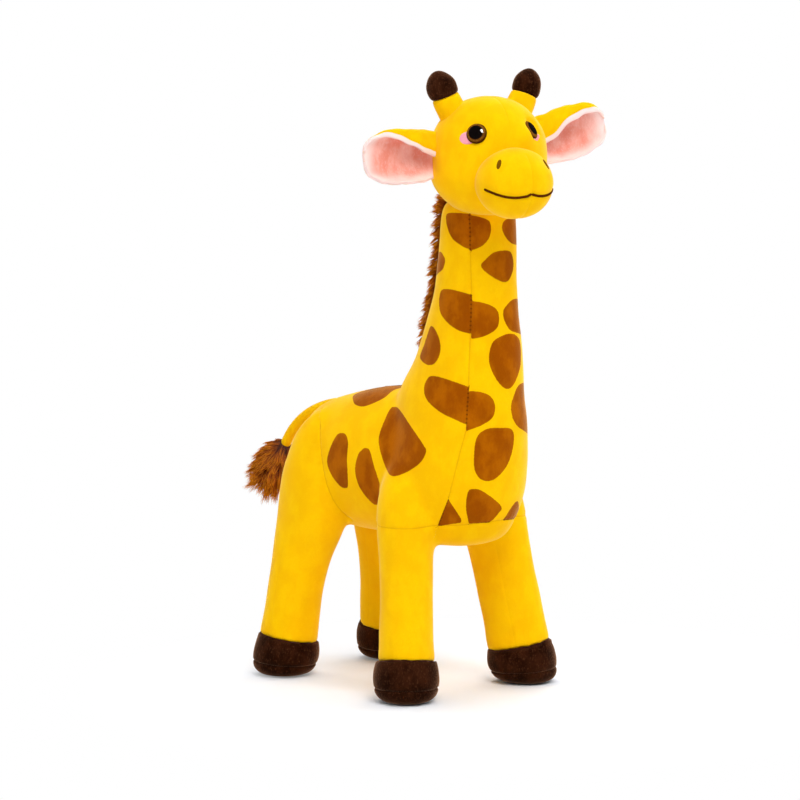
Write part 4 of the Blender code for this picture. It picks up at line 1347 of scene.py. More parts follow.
def laid_patch(name, surface, middle, plane, halves, lift, thick, material, rings_in=14, sides=48):
    """A thin domed patch that follows the cloth it lies on. Gives the object and the flat places."""
    points = []
    flat = []
    for layer in (0, 1):
        for step in range(rings_in, 0, -1):
            share = step / rings_in
            for index in range(sides):
                turn = 2 * math.pi * index / sides
                u = math.cos(turn) * share
                v = math.sin(turn) * share
                spot = middle + plane[0] * (u * halves[0]) + plane[1] * (v * halves[1])
                hit, facing = surface.find_nearest(Vector(spot))[:2]
                dome = math.sqrt(max(0, 1 - share**2))
                rise = lift + thick * (0.25 + 0.75 * dome) if layer else lift - 0.6 * MM
                if step == rings_in:
                    rise = lift + thick * 0.12
                points.append(np.array(hit + facing * rise))
                flat.append((u, v, share))
        spot = Vector(middle)
        hit, facing = surface.find_nearest(spot)[:2]
        points.append(np.array(hit + facing * (lift + thick if layer else lift - 0.6 * MM)))
        flat.append((0, 0, 0))
    count = rings_in * sides + 1
    faces = []
    for layer in (0, 1):
        base = layer * count
        for step in range(rings_in):
            for index in range(sides):
                following = (index + 1) % sides
                a = base + step * sides + index
                b = base + step * sides + following
                if step < rings_in - 1:
                    face = [a, b, b + sides, a + sides]
                else:
                    face = [a, b, base + count - 1]
                faces.append(face if layer else face[::-1])
    for index in range(sides):
        following = (index + 1) % sides
        faces.append([index, following, following + count, index + count])
    item = sewn_piece(name, np.array(points), faces, material)
    return item, np.array(flat)


def make_blush(surface, material):
    for hand, side in SIDES.items():
        place = HEAD_PLACE @ eye_place(side)
        middle = place @ Vector((side * BLUSH_OUT[side], -BLUSH_DROP[side], 0))
        across = place.to_3x3() @ Vector((1, 0, 0))
        upward = place.to_3x3() @ Vector((0, 1, 0))
        halves = (BLUSH_RADIUS[side], BLUSH_RADIUS[side] * BLUSH_FLAT_SHARE)
        item, flat = laid_patch(
            f"felt_blush_{hand}", surface, middle, (across, upward), halves, 0.05 * MM, 0.5 * MM, material
        )
        note_values(item.data, "patch_place", flat)
        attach(item, "head")
        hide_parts(f"blush_patch_{hand}")


def make_nostrils(surface, material):
    for hand, side in SIDES.items():
        point = on_muzzle(side * NOSTRIL_ROUND, NOSTRIL_RISE, 0)
        facing = muzzle_facing(point)
        across = np.cross((0, 0, 1), facing)
        across /= np.linalg.norm(across)
        upward = np.cross(facing, across)
        tilt = -side * NOSTRIL_TILT
        across, upward = (
            across * math.cos(tilt) + upward * math.sin(tilt),
            upward * math.cos(tilt) - across * math.sin(tilt),
        )
        turn = HEAD_PLACE.to_3x3()
        plane = (turn @ Vector(across), turn @ Vector(upward))
        middle = HEAD_PLACE @ Vector(point)
        halves = (NOSTRIL_WIDTH / 2, NOSTRIL_LENGTH / 2)
        item, flat = laid_patch(
            f"stitched_nostril_{hand}", surface, middle, plane, halves, 0.0, 0.7 * MM, material, 16, 56
        )
        # Satin stitches lie side by side across the oval.
        mesh = item.data
        points = points_of(mesh)
        rows = np.sin(flat[:, 1] * NOSTRIL_LENGTH / 2 * (2 * math.pi / NOSTRIL_STITCH))
        raised = np.array(HEAD_PLACE.to_3x3() @ Vector(facing))
        points = points + raised * (0.07 * MM * rows * (flat[:, 2] < 0.97))[:, None]
        place_points(mesh, points)
        note_values(mesh, "patch_place", flat)
        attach(item, "head")
        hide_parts(f"nostril_{hand}")


def make_mouth(surface, material):
    """Each half of the smile is a raised satin-stitched line."""
    for hand in SIDES:
        line = []
        for step in range(MOUTH_STEPS + 1):
            share = step / MOUTH_STEPS
            spot = HEAD_PLACE @ Vector(mouth_point(hand, share, 0))
            hit, facing = surface.find_nearest(spot)[:2]
            line.append((np.array(hit), np.array(facing)))
        walked = 0.0
        rings = []
        for index, (point, facing) in enumerate(line):
            ahead = line[min(index + 1, MOUTH_STEPS)][0] - line[max(index - 1, 0)][0]
            ahead /= np.linalg.norm(ahead)
            across = np.cross(ahead, facing)
            across /= np.linalg.norm(across)
            if index:
                walked += np.linalg.norm(point - line[index - 1][0])
            end = min(index / MOUTH_TAPER["middle"], (MOUTH_STEPS - index) / MOUTH_TAPER["corner"])
            full = math.sqrt(min(1, end) * (2 - min(1, end))) if end < 1 else 1
            turn = np.arange(MOUTH_THREAD_SIDES) * (2 * math.pi / MOUTH_THREAD_SIDES)
            stitch = 1 + 0.10 * np.cos(2 * math.pi * walked / MOUTH_STITCH + turn * 0.8)
            wide, tall = (half * max(full, 0.12) for half in MOUTH_THREAD_HALF)
            rings.append(
                point
                + facing * MOUTH_THREAD_LIFT
                + (np.cos(turn) * stitch)[:, None] * across * wide
                + (np.sin(turn) * stitch)[:, None] * facing * tall
            )
        points, faces = lofted(rings)
        item = sewn_piece(f"stitched_mouth_{hand}", points, faces, material)
        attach(item, "head")
        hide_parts(f"mouth_{hand}")


# The tail, its tuft and the mane.
def tail_path(share):
    along = TAIL_REACH * (share * (1 + TAIL_SAG) - TAIL_SAG * share**2)
    fall = TAIL_DROP * (share * TAIL_SAG + (1 - TAIL_SAG) * share**2)
    return np.array(STAND) + np.array((0, TAIL_ROOT_Y + along, TAIL_ROOT_HEIGHT - fall))


def make_tail(material):
    rings = []
    places = [(0, -math.cos(turn), math.sin(turn)) for turn in np.linspace(0.15, math.pi / 2, 7)]
    places += [(step / 40, 0, 1) for step in range(1, 40)]
    places += [(1, math.cos(turn), math.sin(turn)) for turn in np.linspace(math.pi / 2, 0.15, 7)]
    for share, beyond, full in places:
        ahead = tail_path(share + 0.02) - tail_path(share - 0.02)
        ahead /= np.linalg.norm(ahead)
        square = np.array((0, -ahead[2], ahead[1]))
        centre = tail_path(share) + ahead * beyond * TAIL_RADIUS
        rings.append(ring(centre, (TAIL_RADIUS * full, 0, 0), square * TAIL_RADIUS * full, 32))
    points, faces = lofted(rings)
    item = sewn_piece("plush_tail", points, faces, material)
    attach(item, "tail")
    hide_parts("tail")


def note_strands(mesh, shares, tones):
    """Keeps how far along its strand each point lies, and each strand's own tone."""
    note_values(mesh, "strand_share", shares)
    note_values(mesh, "strand_tone", tones)


def fur_of(name, roots, outs, lengths, droop, clumps, width, seed, material):
    """Tapered strands of fur that draw together into clumps at their tips."""
    maker = np.random.default_rng(seed)
    count = len(roots)
    outs = outs / np.linalg.norm(outs, axis=1)[:, None]
    leaders = maker.choice(count, clumps, replace=False)
    apart = np.linalg.norm(roots[:, None] - roots[leaders][None], axis=2)
    leader = leaders[np.argmin(apart, axis=1)]
    sway = maker.normal(size=(count, 3)) * 0.10
    clump_sway = maker.normal(size=(count, 3)) * 0.16
    tips = roots + (outs + sway) * lengths[:, None] + droop * lengths[:, None]
    goal = roots[leader] + (outs[leader] + clump_sway[leader]) * lengths[:, None] + droop * lengths[:, None]
    pull = maker.uniform(0.45, 0.92, count)[:, None]
    curl = maker.normal(size=(count, 3)) * (0.05 * lengths)[:, None]
    rows = []
    shares = []
    ahead = tips - roots
    ahead /= np.linalg.norm(ahead, axis=1)[:, None]
    side = np.cross(ahead, maker.normal(size=(count, 3)))
    side /= np.linalg.norm(side, axis=1)[:, None]
    other = np.cross(ahead, side)
    for step in range(FUR_STEPS):
        t = step / FUR_STEPS
        centre = roots + (outs + sway) * (lengths * t)[:, None] + droop * (lengths * t * t)[:, None]
        centre = centre + (goal - tips) * pull * t**1.6 + curl * math.sin(math.pi * t)
        thick = width * (1 - t) ** 0.55
        for corner in range(3):
            turn = 2 * math.pi * corner / 3
            rows.append(centre + (side * math.cos(turn) + other * math.sin(turn)) * thick)
            shares.append(t)
    rows.append(tips + (goal - tips) * pull)
    shares.append(1.0)
    per = len(rows)
    points = np.stack(rows, 1).reshape(-1, 3)
    faces = []
    for step in range(FUR_STEPS - 1):
        for corner in range(3):
            following = (corner + 1) % 3
            low = step * 3
            faces.append((low + corner, low + following, low + 3 + following, low + 3 + corner))
    last = (FUR_STEPS - 1) * 3
    pointed = [(last + corner, last + (corner + 1) % 3, per - 1) for corner in range(3)]
    starts = (np.arange(count) * per)[:, None, None]
    quads = (np.array(faces)[None] + starts).reshape(-1, 4).tolist()
    points3 = (np.array(pointed)[None] + starts).reshape(-1, 3).tolist()
    item = sewn_piece(name, points, quads + points3, material)
    note_strands(item.data, np.tile(np.array(shares), count), np.repeat(maker.uniform(0, 1, count), per))
    return item


def mane_size(height):
    """How far the mane's strip reaches to each side and out from the neck."""
    full = float(smooth_step(height, MANE_BOTTOM - 10 * MM, MANE_BOTTOM + 36 * MM))
    return MANE_LEAST + MANE_MORE_WIDE * full, MANE_LEAST + MANE_MORE_DEEP * full


def make_mane(surface, material):
    """A dark strip along the back of the neck, and the fur that grows from it."""
    maker = np.random.default_rng(77)
    rings = []
    for height in np.linspace(MANE_LINE_BOTTOM, MANE_TOP - 1 * MM, 72):
        hit = surface.ray_cast(Vector((STAND.x, 1, height)), Vector((0, -1, 0)))[0]
        middle = np.array((hit.x, hit.y, height))
        wide, rise = mane_size(height)
        narrowed = 1 - 0.55 * float(smooth_step(height, MANE_TOP - 5 * MM, MANE_TOP - 1 * MM))
        rings.append(ring(middle, (wide * narrowed, 0, 0), np.array((0, rise * narrowed, 0)), 20))
    points, faces = lofted(rings)
    backing = sewn_piece("mane_backing", points, faces, material)
    note_strands(backing.data, np.full(len(points), 0.15), np.full(len(points), 0.5))
    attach(backing, "body")

    heights = maker.uniform(MANE_BOTTOM, MANE_TOP, MANE_STRANDS)
    heights[-MANE_TOP_STRANDS:] = maker.uniform(MANE_TOP - MANE_TOP_REACH, MANE_TOP, MANE_TOP_STRANDS)
    turns = maker.uniform(-math.pi / 2, math.pi / 2, MANE_STRANDS)
    roots, outs, lengths = [], [], []
    for height, turn in zip(heights, turns):
        wide, rise = mane_size(height)
        top = float(smooth_step(height, MANE_TOP - 0.016, MANE_TOP))
        hit = surface.ray_cast(Vector((STAND.x, 1, height)), Vector((0, -1, 0)))[0]
        away = np.array((math.sin(turn) * wide, math.cos(turn) * rise * 0.9, 0))
        roots.append(np.array(hit) + away)
        outs.append(np.array((math.sin(turn) * 0.8, 0.35 + math.cos(turn) * 0.65, -0.45 + 1.1 * top)))
        lengths.append(MANE_FUR_LENGTH + rise * 0.66 + 0.6 * MM * top)
    lengths = np.array(lengths) * maker.uniform(0.72, 1.12, MANE_STRANDS)
    fur = fur_of(
        "mane_fur",
        np.array(roots),
        np.array(outs),
        lengths,
        np.array((0, 0, -0.12)),
        MANE_STRANDS // 18,
        MANE_FUR_HALF,
        78,
        material,
    )
    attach(fur, "body")
    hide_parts("mane")


def make_tuft(material):
    down = np.array((0, math.sin(TUFT_LEAN), -math.cos(TUFT_LEAN)))
    square = np.array((0, math.cos(TUFT_LEAN), math.sin(TUFT_LEAN)))
    side = np.array((1.0, 0, 0))
    top = tail_path(1) + down * TAIL_RADIUS * 0.5
    rings = []
    for along, full in eased(TUFT_SHARES, 4):
        radius = TUFT_RADIUS * full * TUFT_CORE_FULL
        centre = top + down * TUFT_LENGTH * along * TUFT_CORE_SHARE
        rings.append(ring(centre, side * radius, square * radius, 32))
    points, faces = lofted(rings)
    core = sewn_piece("tuft_core", points, faces, material)
    note_strands(core.data, np.full(len(points), 0.05), np.full(len(points), 0.3))
    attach(core, "tuft")

    maker = np.random.default_rng(91)
    count = TUFT_STRANDS
    along = maker.uniform(0, 1, count) ** 0.85
    turns = maker.uniform(0, 2 * math.pi, count)
    shares = np.array(eased(TUFT_SHARES, 4))
    full = np.interp(along, shares[:, 0], shares[:, 1])
    radial = np.cos(turns)[:, None] * side + np.sin(turns)[:, None] * square
    roots = top + down * (TUFT_LENGTH * TUFT_CORE_SHARE * along)[:, None]
    roots = roots + radial * (TUFT_RADIUS * TUFT_ROOT_FULL * full)[:, None]
    lean = 0.55 + 0.9 * along
    outs = radial + down * lean[:, None]
    lengths = (9.5 + 4.5 * along) * MM * maker.uniform(0.75, 1.15, count)
    droop = np.array((0, 0, -0.10))
    fur = fur_of("tuft_fur", roots, outs, lengths, droop, TUFT_CLUMPS, TUFT_FUR_HALF, 92, material)
    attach(fur, "tuft")
    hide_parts("tail_tuft")


# The finishes.
class Finish:
    """A short hand for laying out the nodes of a material or a group."""

    def __init__(self, tree):
        self.tree = tree

    def node(self, kind, links=None, **settings):
        made = self.tree.nodes.new(kind)
        for name, value in settings.items():
            setattr(made, name, value)
        for socket, value in (links or {}).items():
            self.feed(made.inputs[socket], value)
        return made

    def feed(self, socket, value):
        if isinstance(value, bpy.types.NodeSocket):
            self.tree.links.new(value, socket)
        else:
            socket.default_value = value

    def sum(self, operation, first, second=None, third=None, clamp=False):
        made = self.tree.nodes.new("ShaderNodeMath")
        made.operation = operation
        made.use_clamp = clamp
        for index, value in enumerate((first, second, third)):
            if value is not None:
                self.feed(made.inputs[index], value)
        return made.outputs[0]

    def between(self, value, low, high, start=0.0, end=1.0):
        """Eases from start to end as the value goes from low to high."""
        made = self.node("ShaderNodeMapRange", interpolation_type="SMOOTHSTEP")
        for socket, number in zip(made.inputs, (value, low, high, start, end)):
            self.feed(socket, number)
        return made.outputs[0]

    def blend(self, share, first, second, way="MIX"):
        made = self.node("ShaderNodeMix", data_type="RGBA", blend_type=way)
        self.feed(made.inputs[0], share)
        self.feed(made.inputs[6], first)
        self.feed(made.inputs[7], second)
        return made.outputs[2]

    def place(self):
        return self.node("ShaderNodeTexCoord").outputs["Object"]

    def kept(self, name, kind="Fac"):
        """A value kept at each point of the mesh."""
        return self.node("ShaderNodeAttribute", attribute_name=name).outputs[kind]

    def grain(self, place, scale, detail=2.0, roughness=0.5, stretch=None):
        if stretch:
            place = self.node("ShaderNodeMapping", {"Vector": place, "Scale": stretch}).outputs[0]
        links = {"Vector": place, "Scale": scale, "Detail": detail, "Roughness": roughness}
        return self.node("ShaderNodeTexNoise", links).outputs["Fac"]


def finish_group(name, inputs, outputs):
    """An effect that several finishes share, with named inputs and outputs."""
    tree = bpy.data.node_groups.new(name, "ShaderNodeTree")
    for title, kind, value in inputs:
        socket = tree.interface.new_socket(title, in_out="INPUT", socket_type=kind)
        if value is not None:
            socket.default_value = value
    for title, kind in outputs:
        tree.interface.new_socket(title, in_out="OUTPUT", socket_type=kind)
    finish = Finish(tree)
    return finish, finish.node("NodeGroupInput").outputs, finish.node("NodeGroupOutput").inputs


NUMBER = "NodeSocketFloat"
COLOUR = "NodeSocketColor"
VECTOR = "NodeSocketVector"


def short_pile_group():
    """Short brushed pile: fibre grain, crushed patches that catch the light, painted shade in the crushed
    patches and the pits between fibres, painted highlights on the fibre tips, and a soft height.
    """
    finish, given, out = finish_group(
        "short_pile",
        (
            ("Place", VECTOR, None),
            ("Colour", COLOUR, (1, 1, 1, 1)),
            ("Shade", COLOUR, (0.5, 0.5, 0.5, 1)),
            ("Painted Tip Highlight", COLOUR, (1, 1, 1, 1)),
            ("Tip Highlight Share", NUMBER, 0.2),
            ("Fibre Scale", NUMBER, 1100.0),
            ("Crushed Shade", NUMBER, 0.5),
            ("Pile Height", NUMBER, 0.0002),
        ),
        (("Colour", COLOUR), ("Roughness", NUMBER), ("Height", NUMBER)),
    )
    place = given["Place"]
    fibre = finish.grain(place, given["Fibre Scale"], 3.0, 0.65, (1.0, 1.0, 0.55))
    crushed = finish.grain(place, 95.0, 3.0, 0.55, (1.0, 1.0, 0.7))
    broad = finish.grain(place, 21.0, 2.0, 0.5)
    patch = finish.sum("MULTIPLY_ADD", crushed, 0.65, finish.sum("MULTIPLY", broad, 0.35))
    # Painted shade: the crushed patches and the pits between fibres blend toward the Shade colour.
    dip = finish.sum("MULTIPLY", finish.between(patch, 0.40, 0.62, 1.0, 0.0), given["Crushed Shade"])
    pit = finish.sum("MULTIPLY", finish.between(fibre, 0.30, 0.60, 1.0, 0.0), 0.22)
    shade = finish.sum("MAXIMUM", dip, pit)
    # Painted highlight: the fibre tips blend toward the lighter tip colour.
    tips = finish.sum("MULTIPLY", finish.between(fibre, 0.50, 0.70), given["Tip Highlight Share"])
    colour = finish.blend(shade, given["Colour"], given["Shade"])
    finish.feed(out["Colour"], finish.blend(tips, colour, given["Painted Tip Highlight"]))
    finish.feed(out["Roughness"], finish.between(patch, 0.35, 0.7, 0.98, 0.82))
    height = finish.sum("MULTIPLY_ADD", patch, 1.6, finish.sum("MULTIPLY", fibre, 1.0))
    finish.feed(out["Height"], finish.sum("MULTIPLY", height, given["Pile Height"]))
    return finish.tree


def sewn_seam_group():
    """A closed seam: a line of painted shade where two panels meet, and small ladder stitches along it."""
    finish, given, out = finish_group(
        "sewn_seam",
        (
            ("Seam", VECTOR, None),
            ("Width", NUMBER, 0.00035),
            ("Stitch Pitch", NUMBER, 0.0028),
            ("Stitches", NUMBER, 0.5),
        ),
        (("Line", NUMBER), ("Stitch", NUMBER), ("Height", NUMBER)),
    )
    parts = finish.node("ShaderNodeSeparateXYZ", {0: given["Seam"]}).outputs
    away = finish.sum("ABSOLUTE", parts[0])
    near = finish.sum("DIVIDE", away, given["Width"])
    line = finish.between(near, 0.4, 1.6, 1.0, 0.0)
    line = finish.sum("MULTIPLY", line, parts[2])
    finish.feed(out["Line"], line)
    beat = finish.sum("FRACT", finish.sum("DIVIDE", parts[1], given["Stitch Pitch"]))
    beat = finish.sum("ABSOLUTE", finish.sum("SUBTRACT", beat, 0.5))
    dot = finish.between(beat, 0.14, 0.26, 1.0, 0.0)
    reach = finish.between(near, 1.4, 2.4, 1.0, 0.0)
    stitch = finish.sum("MULTIPLY", finish.sum("MULTIPLY", dot, reach), given["Stitches"])
    finish.feed(out["Stitch"], finish.sum("MULTIPLY", stitch, parts[2]))
    dip = finish.between(near, 0.0, 3.5, -0.00035, 0.0)
    finish.feed(out["Height"], finish.sum("MULTIPLY", dip, parts[2]))
    return finish.tree


def new_finish(name, roughness, sheen, sheen_tint, specular=0.25):
    """A material with its shader; what is the same all over is set on the shader itself."""
    material = bpy.data.materials.new(name)
    material.use_nodes = True
    finish = Finish(material.node_tree)
    shader = material.node_tree.nodes["Principled BSDF"]
    shader.inputs["Roughness"].default_value = roughness
    shader.inputs["Sheen Weight"].default_value = sheen
    shader.inputs["Sheen Roughness"].default_value = 0.32
    shader.inputs["Sheen Tint"].default_value = (*sheen_tint, 1)
    shader.inputs["Specular IOR Level"].default_value = specular
    return material, finish, shader


# The three colours are the fibres' own colour, a painted shade and a painted tip highlight.
def pile_node(finish, group, place, colours, scale, crushed_shade, height, tips):
    links = {"Place": place, "Fibre Scale": scale, "Crushed Shade": crushed_shade, "Pile Height": height, "Tip Highlight Share": tips}
    pile = finish.node("ShaderNodeGroup", node_tree=group)
    for socket, value in links.items():
        finish.feed(pile.inputs[socket], value)
    for socket, colour in zip(("Colour", "Shade", "Painted Tip Highlight"), colours):
        finish.feed(pile.inputs[socket], (*colour, 1))
    return pile.outputs


def finish_plush(finish, shader, pile, colour, height):
    finish.feed(shader.inputs["Base Color"], colour)
    finish.feed(shader.inputs["Roughness"], pile["Roughness"])
    bump = finish.node("ShaderNodeBump", {"Height": height, "Distance": 1.0, "Strength": 0.8})
    finish.feed(shader.inputs["Normal"], bump.outputs[0])


# Each pile has the colour of its fibres, a painted shade colour for its crushed patches and the pits between
# fibres, and a painted highlight colour for its lit fibre tips.
YELLOWS = ((0.965, 0.555, 0.0016), (0.90, 0.43, 0.0010), (1.0, 0.66, 0.010))
SPOT_BROWNS = ((0.440, 0.114, 0.0010), (0.28, 0.058, 0.0006), (0.55, 0.17, 0.003))
# Seam colours: painted shade along the seams' lines, in yellow and on the spots; the stitches are coloured
# with them too.
SEAM_LINE_SHADE_AND_STITCH = (0.62, 0.24, 0.002)
SPOT_STITCH_AND_LINE_SHADE = (0.10, 0.022, 0.001)
DARK_BROWNS = ((0.038, 0.0105, 0.0038), (0.011, 0.0026, 0.0010), (0.075, 0.027, 0.012))
FUR_ROOT = (0.070, 0.014, 0.001)
FUR_MIDDLE = (0.40, 0.095, 0.002)
FUR_TIP = (0.90, 0.31, 0.012)
PINKS = ((0.96, 0.49, 0.42), (0.86, 0.27, 0.19), (1.0, 0.74, 0.69))
# The lining's pale rim colour is a painted highlight.
PALE_RIM_HIGHLIGHT = (0.97, 0.74, 0.70)
BLUSH = (0.95, 0.40, 0.47)
BLUSH_SHADE = (0.87, 0.30, 0.37)
# The lit thread colours are painted highlights on the strands.
MOUTH_THREAD = (0.060, 0.010, 0.001)
MOUTH_THREAD_LIT = (0.12, 0.030, 0.003)
NOSTRIL_THREAD = (0.125, 0.042, 0.001)
NOSTRIL_THREAD_LIT = (0.24, 0.095, 0.003)


def spotted_finish(groups):
    """Yellow pile with brown printed spots, and the body's seams."""
    material, finish, shader = new_finish("spotted_plush", 0.9, 0.46, (1.0, 0.86, 0.44), 0.0)
    place = finish.place()
    yellow = pile_node(finish, groups["pile"], place, YELLOWS, 1100.0, 0.5, 0.00018, 0.18)
    brown = pile_node(finish, groups["pile"], place, SPOT_BROWNS, 1100.0, 0.85, 0.00018, 0.12)
    reach = finish.kept("spot_reach")
    fray = finish.grain(place, 900.0, 2.0, 0.6)
    reach = finish.sum("MULTIPLY_ADD", finish.sum("SUBTRACT", fray, 0.5), 0.0006, reach)
    spot = finish.between(reach, -0.00018, 0.00018)
    colour = finish.blend(spot, yellow["Colour"], brown["Colour"])
    height = yellow["Height"]
    for name, strength in (("drawn_seam", 0.95), ("flat_seam", 0.6)):
        seam = finish.node("ShaderNodeGroup", node_tree=groups["seam"])
        vector = finish.kept(name, "Vector")
        finish.feed(seam.inputs["Seam"], vector)
        seam.inputs["Stitches"].default_value = strength
        # Painted shade along each seam's line, browner on a spot; the stitches take the same colours.
        under = finish.blend(spot, (*SEAM_LINE_SHADE_AND_STITCH, 1), (*SPOT_STITCH_AND_LINE_SHADE, 1))
        dark = finish.sum("MULTIPLY", seam.outputs["Line"], 0.34)
        stitch = finish.sum("MULTIPLY", seam.outputs["Stitch"], finish.sum("MULTIPLY_ADD", spot, 0.65, 0.15))
        colour = finish.blend(finish.sum("MAXIMUM", dark, stitch), colour, under)
        height = finish.sum("ADD", height, seam.outputs["Height"])
    finish_plush(finish, shader, yellow, colour, height)
    return material


def yellow_finish(groups, name, with_seam):
    material, finish, shader = new_finish(name, 0.9, 0.46, (1.0, 0.86, 0.44), 0.0)
    place = finish.place()
    pile = pile_node(finish, groups["pile"], place, YELLOWS, 1100.0, 0.5, 0.00018, 0.18)
    colour = pile["Colour"]
    height = pile["Height"]
    if with_seam:
        seam = finish.node("ShaderNodeGroup", node_tree=groups["seam"])
        vector = finish.kept("drawn_seam", "Vector")
        finish.feed(seam.inputs["Seam"], vector)
        # Painted shade along the seam's line.
        colour = finish.blend(finish.sum("MULTIPLY", seam.outputs["Line"], 0.28), colour, (*SEAM_LINE_SHADE_AND_STITCH, 1))
        height = finish.sum("ADD", height, seam.outputs["Height"])
    finish_plush(finish, shader, pile, colour, height)
    return material


def dark_plush_finish(groups):
    material, finish, shader = new_finish("dark_brown_pile", 0.9, 0.62, (0.85, 0.48, 0.30), 0.0)
    place = finish.place()
    pile = pile_node(finish, groups["pile"], place, DARK_BROWNS, 900.0, 0.95, 0.00040, 0.6)
    finish_plush(finish, shader, pile, pile["Colour"], pile["Height"])
    return material


def ear_lining_finish(groups):
    """Pink pile with a painted highlight: paler along the rim, where the rolled edge is lit."""
    material, finish, shader = new_finish("pink_ear_pile", 0.9, 0.12, (1.0, 0.75, 0.72), 0.0)
    place = finish.place()
    pile = pile_node(finish, groups["pile"], place, PINKS, 1000.0, 0.85, 0.00034, 0.25)
    rim = finish.kept("rim_reach")
    ragged = finish.sum("MULTIPLY_ADD", finish.grain(place, 260.0, 3.0, 0.6), 0.0016, rim)
    # Painted highlight: near the rim the pink pile turns to the pale rim colour.
    edge = finish.between(ragged, 0.0018, 0.0120, 0.92, 0.0)
    colour = finish.blend(edge, pile["Colour"], (*PALE_RIM_HIGHLIGHT, 1))
    finish_plush(finish, shader, pile, colour, pile["Height"])
    return material


def fur_finish(name):
    """Long fur: dark at the root and orange brown at the tip, no two strands quite alike."""
    material, finish, shader = new_finish(name, 0.8, 0.0, (1, 1, 1), 0.03)
    share = finish.kept("strand_share")
    tone = finish.kept("strand_tone")
    reach = finish.sum("MULTIPLY_ADD", finish.sum("SUBTRACT", tone, 0.5), 0.45, share)
    lower = finish.blend(finish.between(reach, 0.05, 0.5), (*FUR_ROOT, 1), (*FUR_MIDDLE, 1))
    colour = finish.blend(finish.between(reach, 0.5, 1.0), lower, (*FUR_TIP, 1))
    finish.feed(shader.inputs["Base Color"], colour)
    return material


def eye_finish():
    """A safety eye under clear lacquer: black pupil, ochre ring with fine rays, dark edge."""
    material, finish, shader = new_finish("lacquered_eye", 0.12, 0.0, (1, 1, 1), 0.0)
    ring_share = finish.kept("eye_ring")
    place = finish.kept("eye_flat", "Vector")
    parts = finish.node("ShaderNodeSeparateXYZ", {0: place}).outputs
    angle = finish.sum("ARCTAN2", parts[1], parts[0])
    outward = finish.sum("MULTIPLY", ring_share, 0.6)
    rays = finish.node("ShaderNodeCombineXYZ", {"X": angle, "Y": outward}).outputs[0]
    ray = finish.grain(rays, 9.0, 3.0, 0.6)
    iris = finish.blend(finish.between(ray, 0.3, 0.7), (0.13, 0.040, 0.002, 1), (0.27, 0.105, 0.012, 1))
    colour = finish.blend(finish.between(ring_share, 0.68, 0.80), (0.0025, 0.0012, 0.001, 1), iris)
    colour = finish.blend(finish.between(ring_share, 0.84, 1.0), colour, (0.05, 0.014, 0.001, 1))
    finish.feed(shader.inputs["Base Color"], colour)
    shader.inputs["Coat Weight"].default_value = 0.05
    shader.inputs["Coat Roughness"].default_value = 0.03
    haze = finish.grain(place, 3.0, 2.0, 0.5)
    finish.feed(shader.inputs["Roughness"], finish.between(haze, 0.3, 0.7, 0.06, 0.16))
    return material


def felt_finish():
    material, finish, shader = new_finish("pink_felt_patch", 0.95, 0.08, (1.0, 0.6, 0.8), 0.0)
    place = finish.place()
    fibre = finish.grain(place, 1500.0, 4.0, 0.7)
    colour = finish.blend(finish.between(fibre, 0.3, 0.7), (*BLUSH_SHADE, 1), (*BLUSH, 1))
    finish.feed(shader.inputs["Base Color"], colour)
    height = finish.sum("MULTIPLY", fibre, 0.00025)
    bump = finish.node("ShaderNodeBump", {"Height": height, "Distance": 1.0, "Strength": 0.7})
    finish.feed(shader.inputs["Normal"], bump.outputs[0])
    return material


def thread_finish(name, dark, light):
    """Embroidery thread with fine twisted strands and a slight lustre, painted as highlights: the strands
    turn to a lighter lit colour.
    """
    material, finish, shader = new_finish(name, 0.8, 0.0, (1, 1, 1), 0.0)
    place = finish.place()
    strand = finish.grain(place, 2400.0, 3.0, 0.6)
    # Painted highlight: the strands blend from the dark colour toward the lit colour.
    colour = finish.blend(finish.between(strand, 0.3, 0.7), (*dark, 1), (*light, 1))
    finish.feed(shader.inputs["Base Color"], colour)
    finish.feed(shader.inputs["Roughness"], finish.between(strand, 0.3, 0.7, 0.65, 0.85))
    return material


def washer_finish():
    """Milky moulded plastic with faint flow marks."""
    material, finish, shader = new_finish("moulded_washer", 0.4, 0.0, (1, 1, 1), 0.5)
    place = finish.place()
    flow = finish.grain(place, 300.0, 3.0, 0.5)
    colour = finish.blend(flow, (0.72, 0.72, 0.68, 1), (0.80, 0.80, 0.77, 1))
    finish.feed(shader.inputs["Base Color"], colour)
    finish.feed(shader.inputs["Roughness"], finish.between(flow, 0.2, 0.8, 0.32, 0.48))
    return material


# The studio.
FLOOR_HALF = 4.0
AMBIENT = 0.36


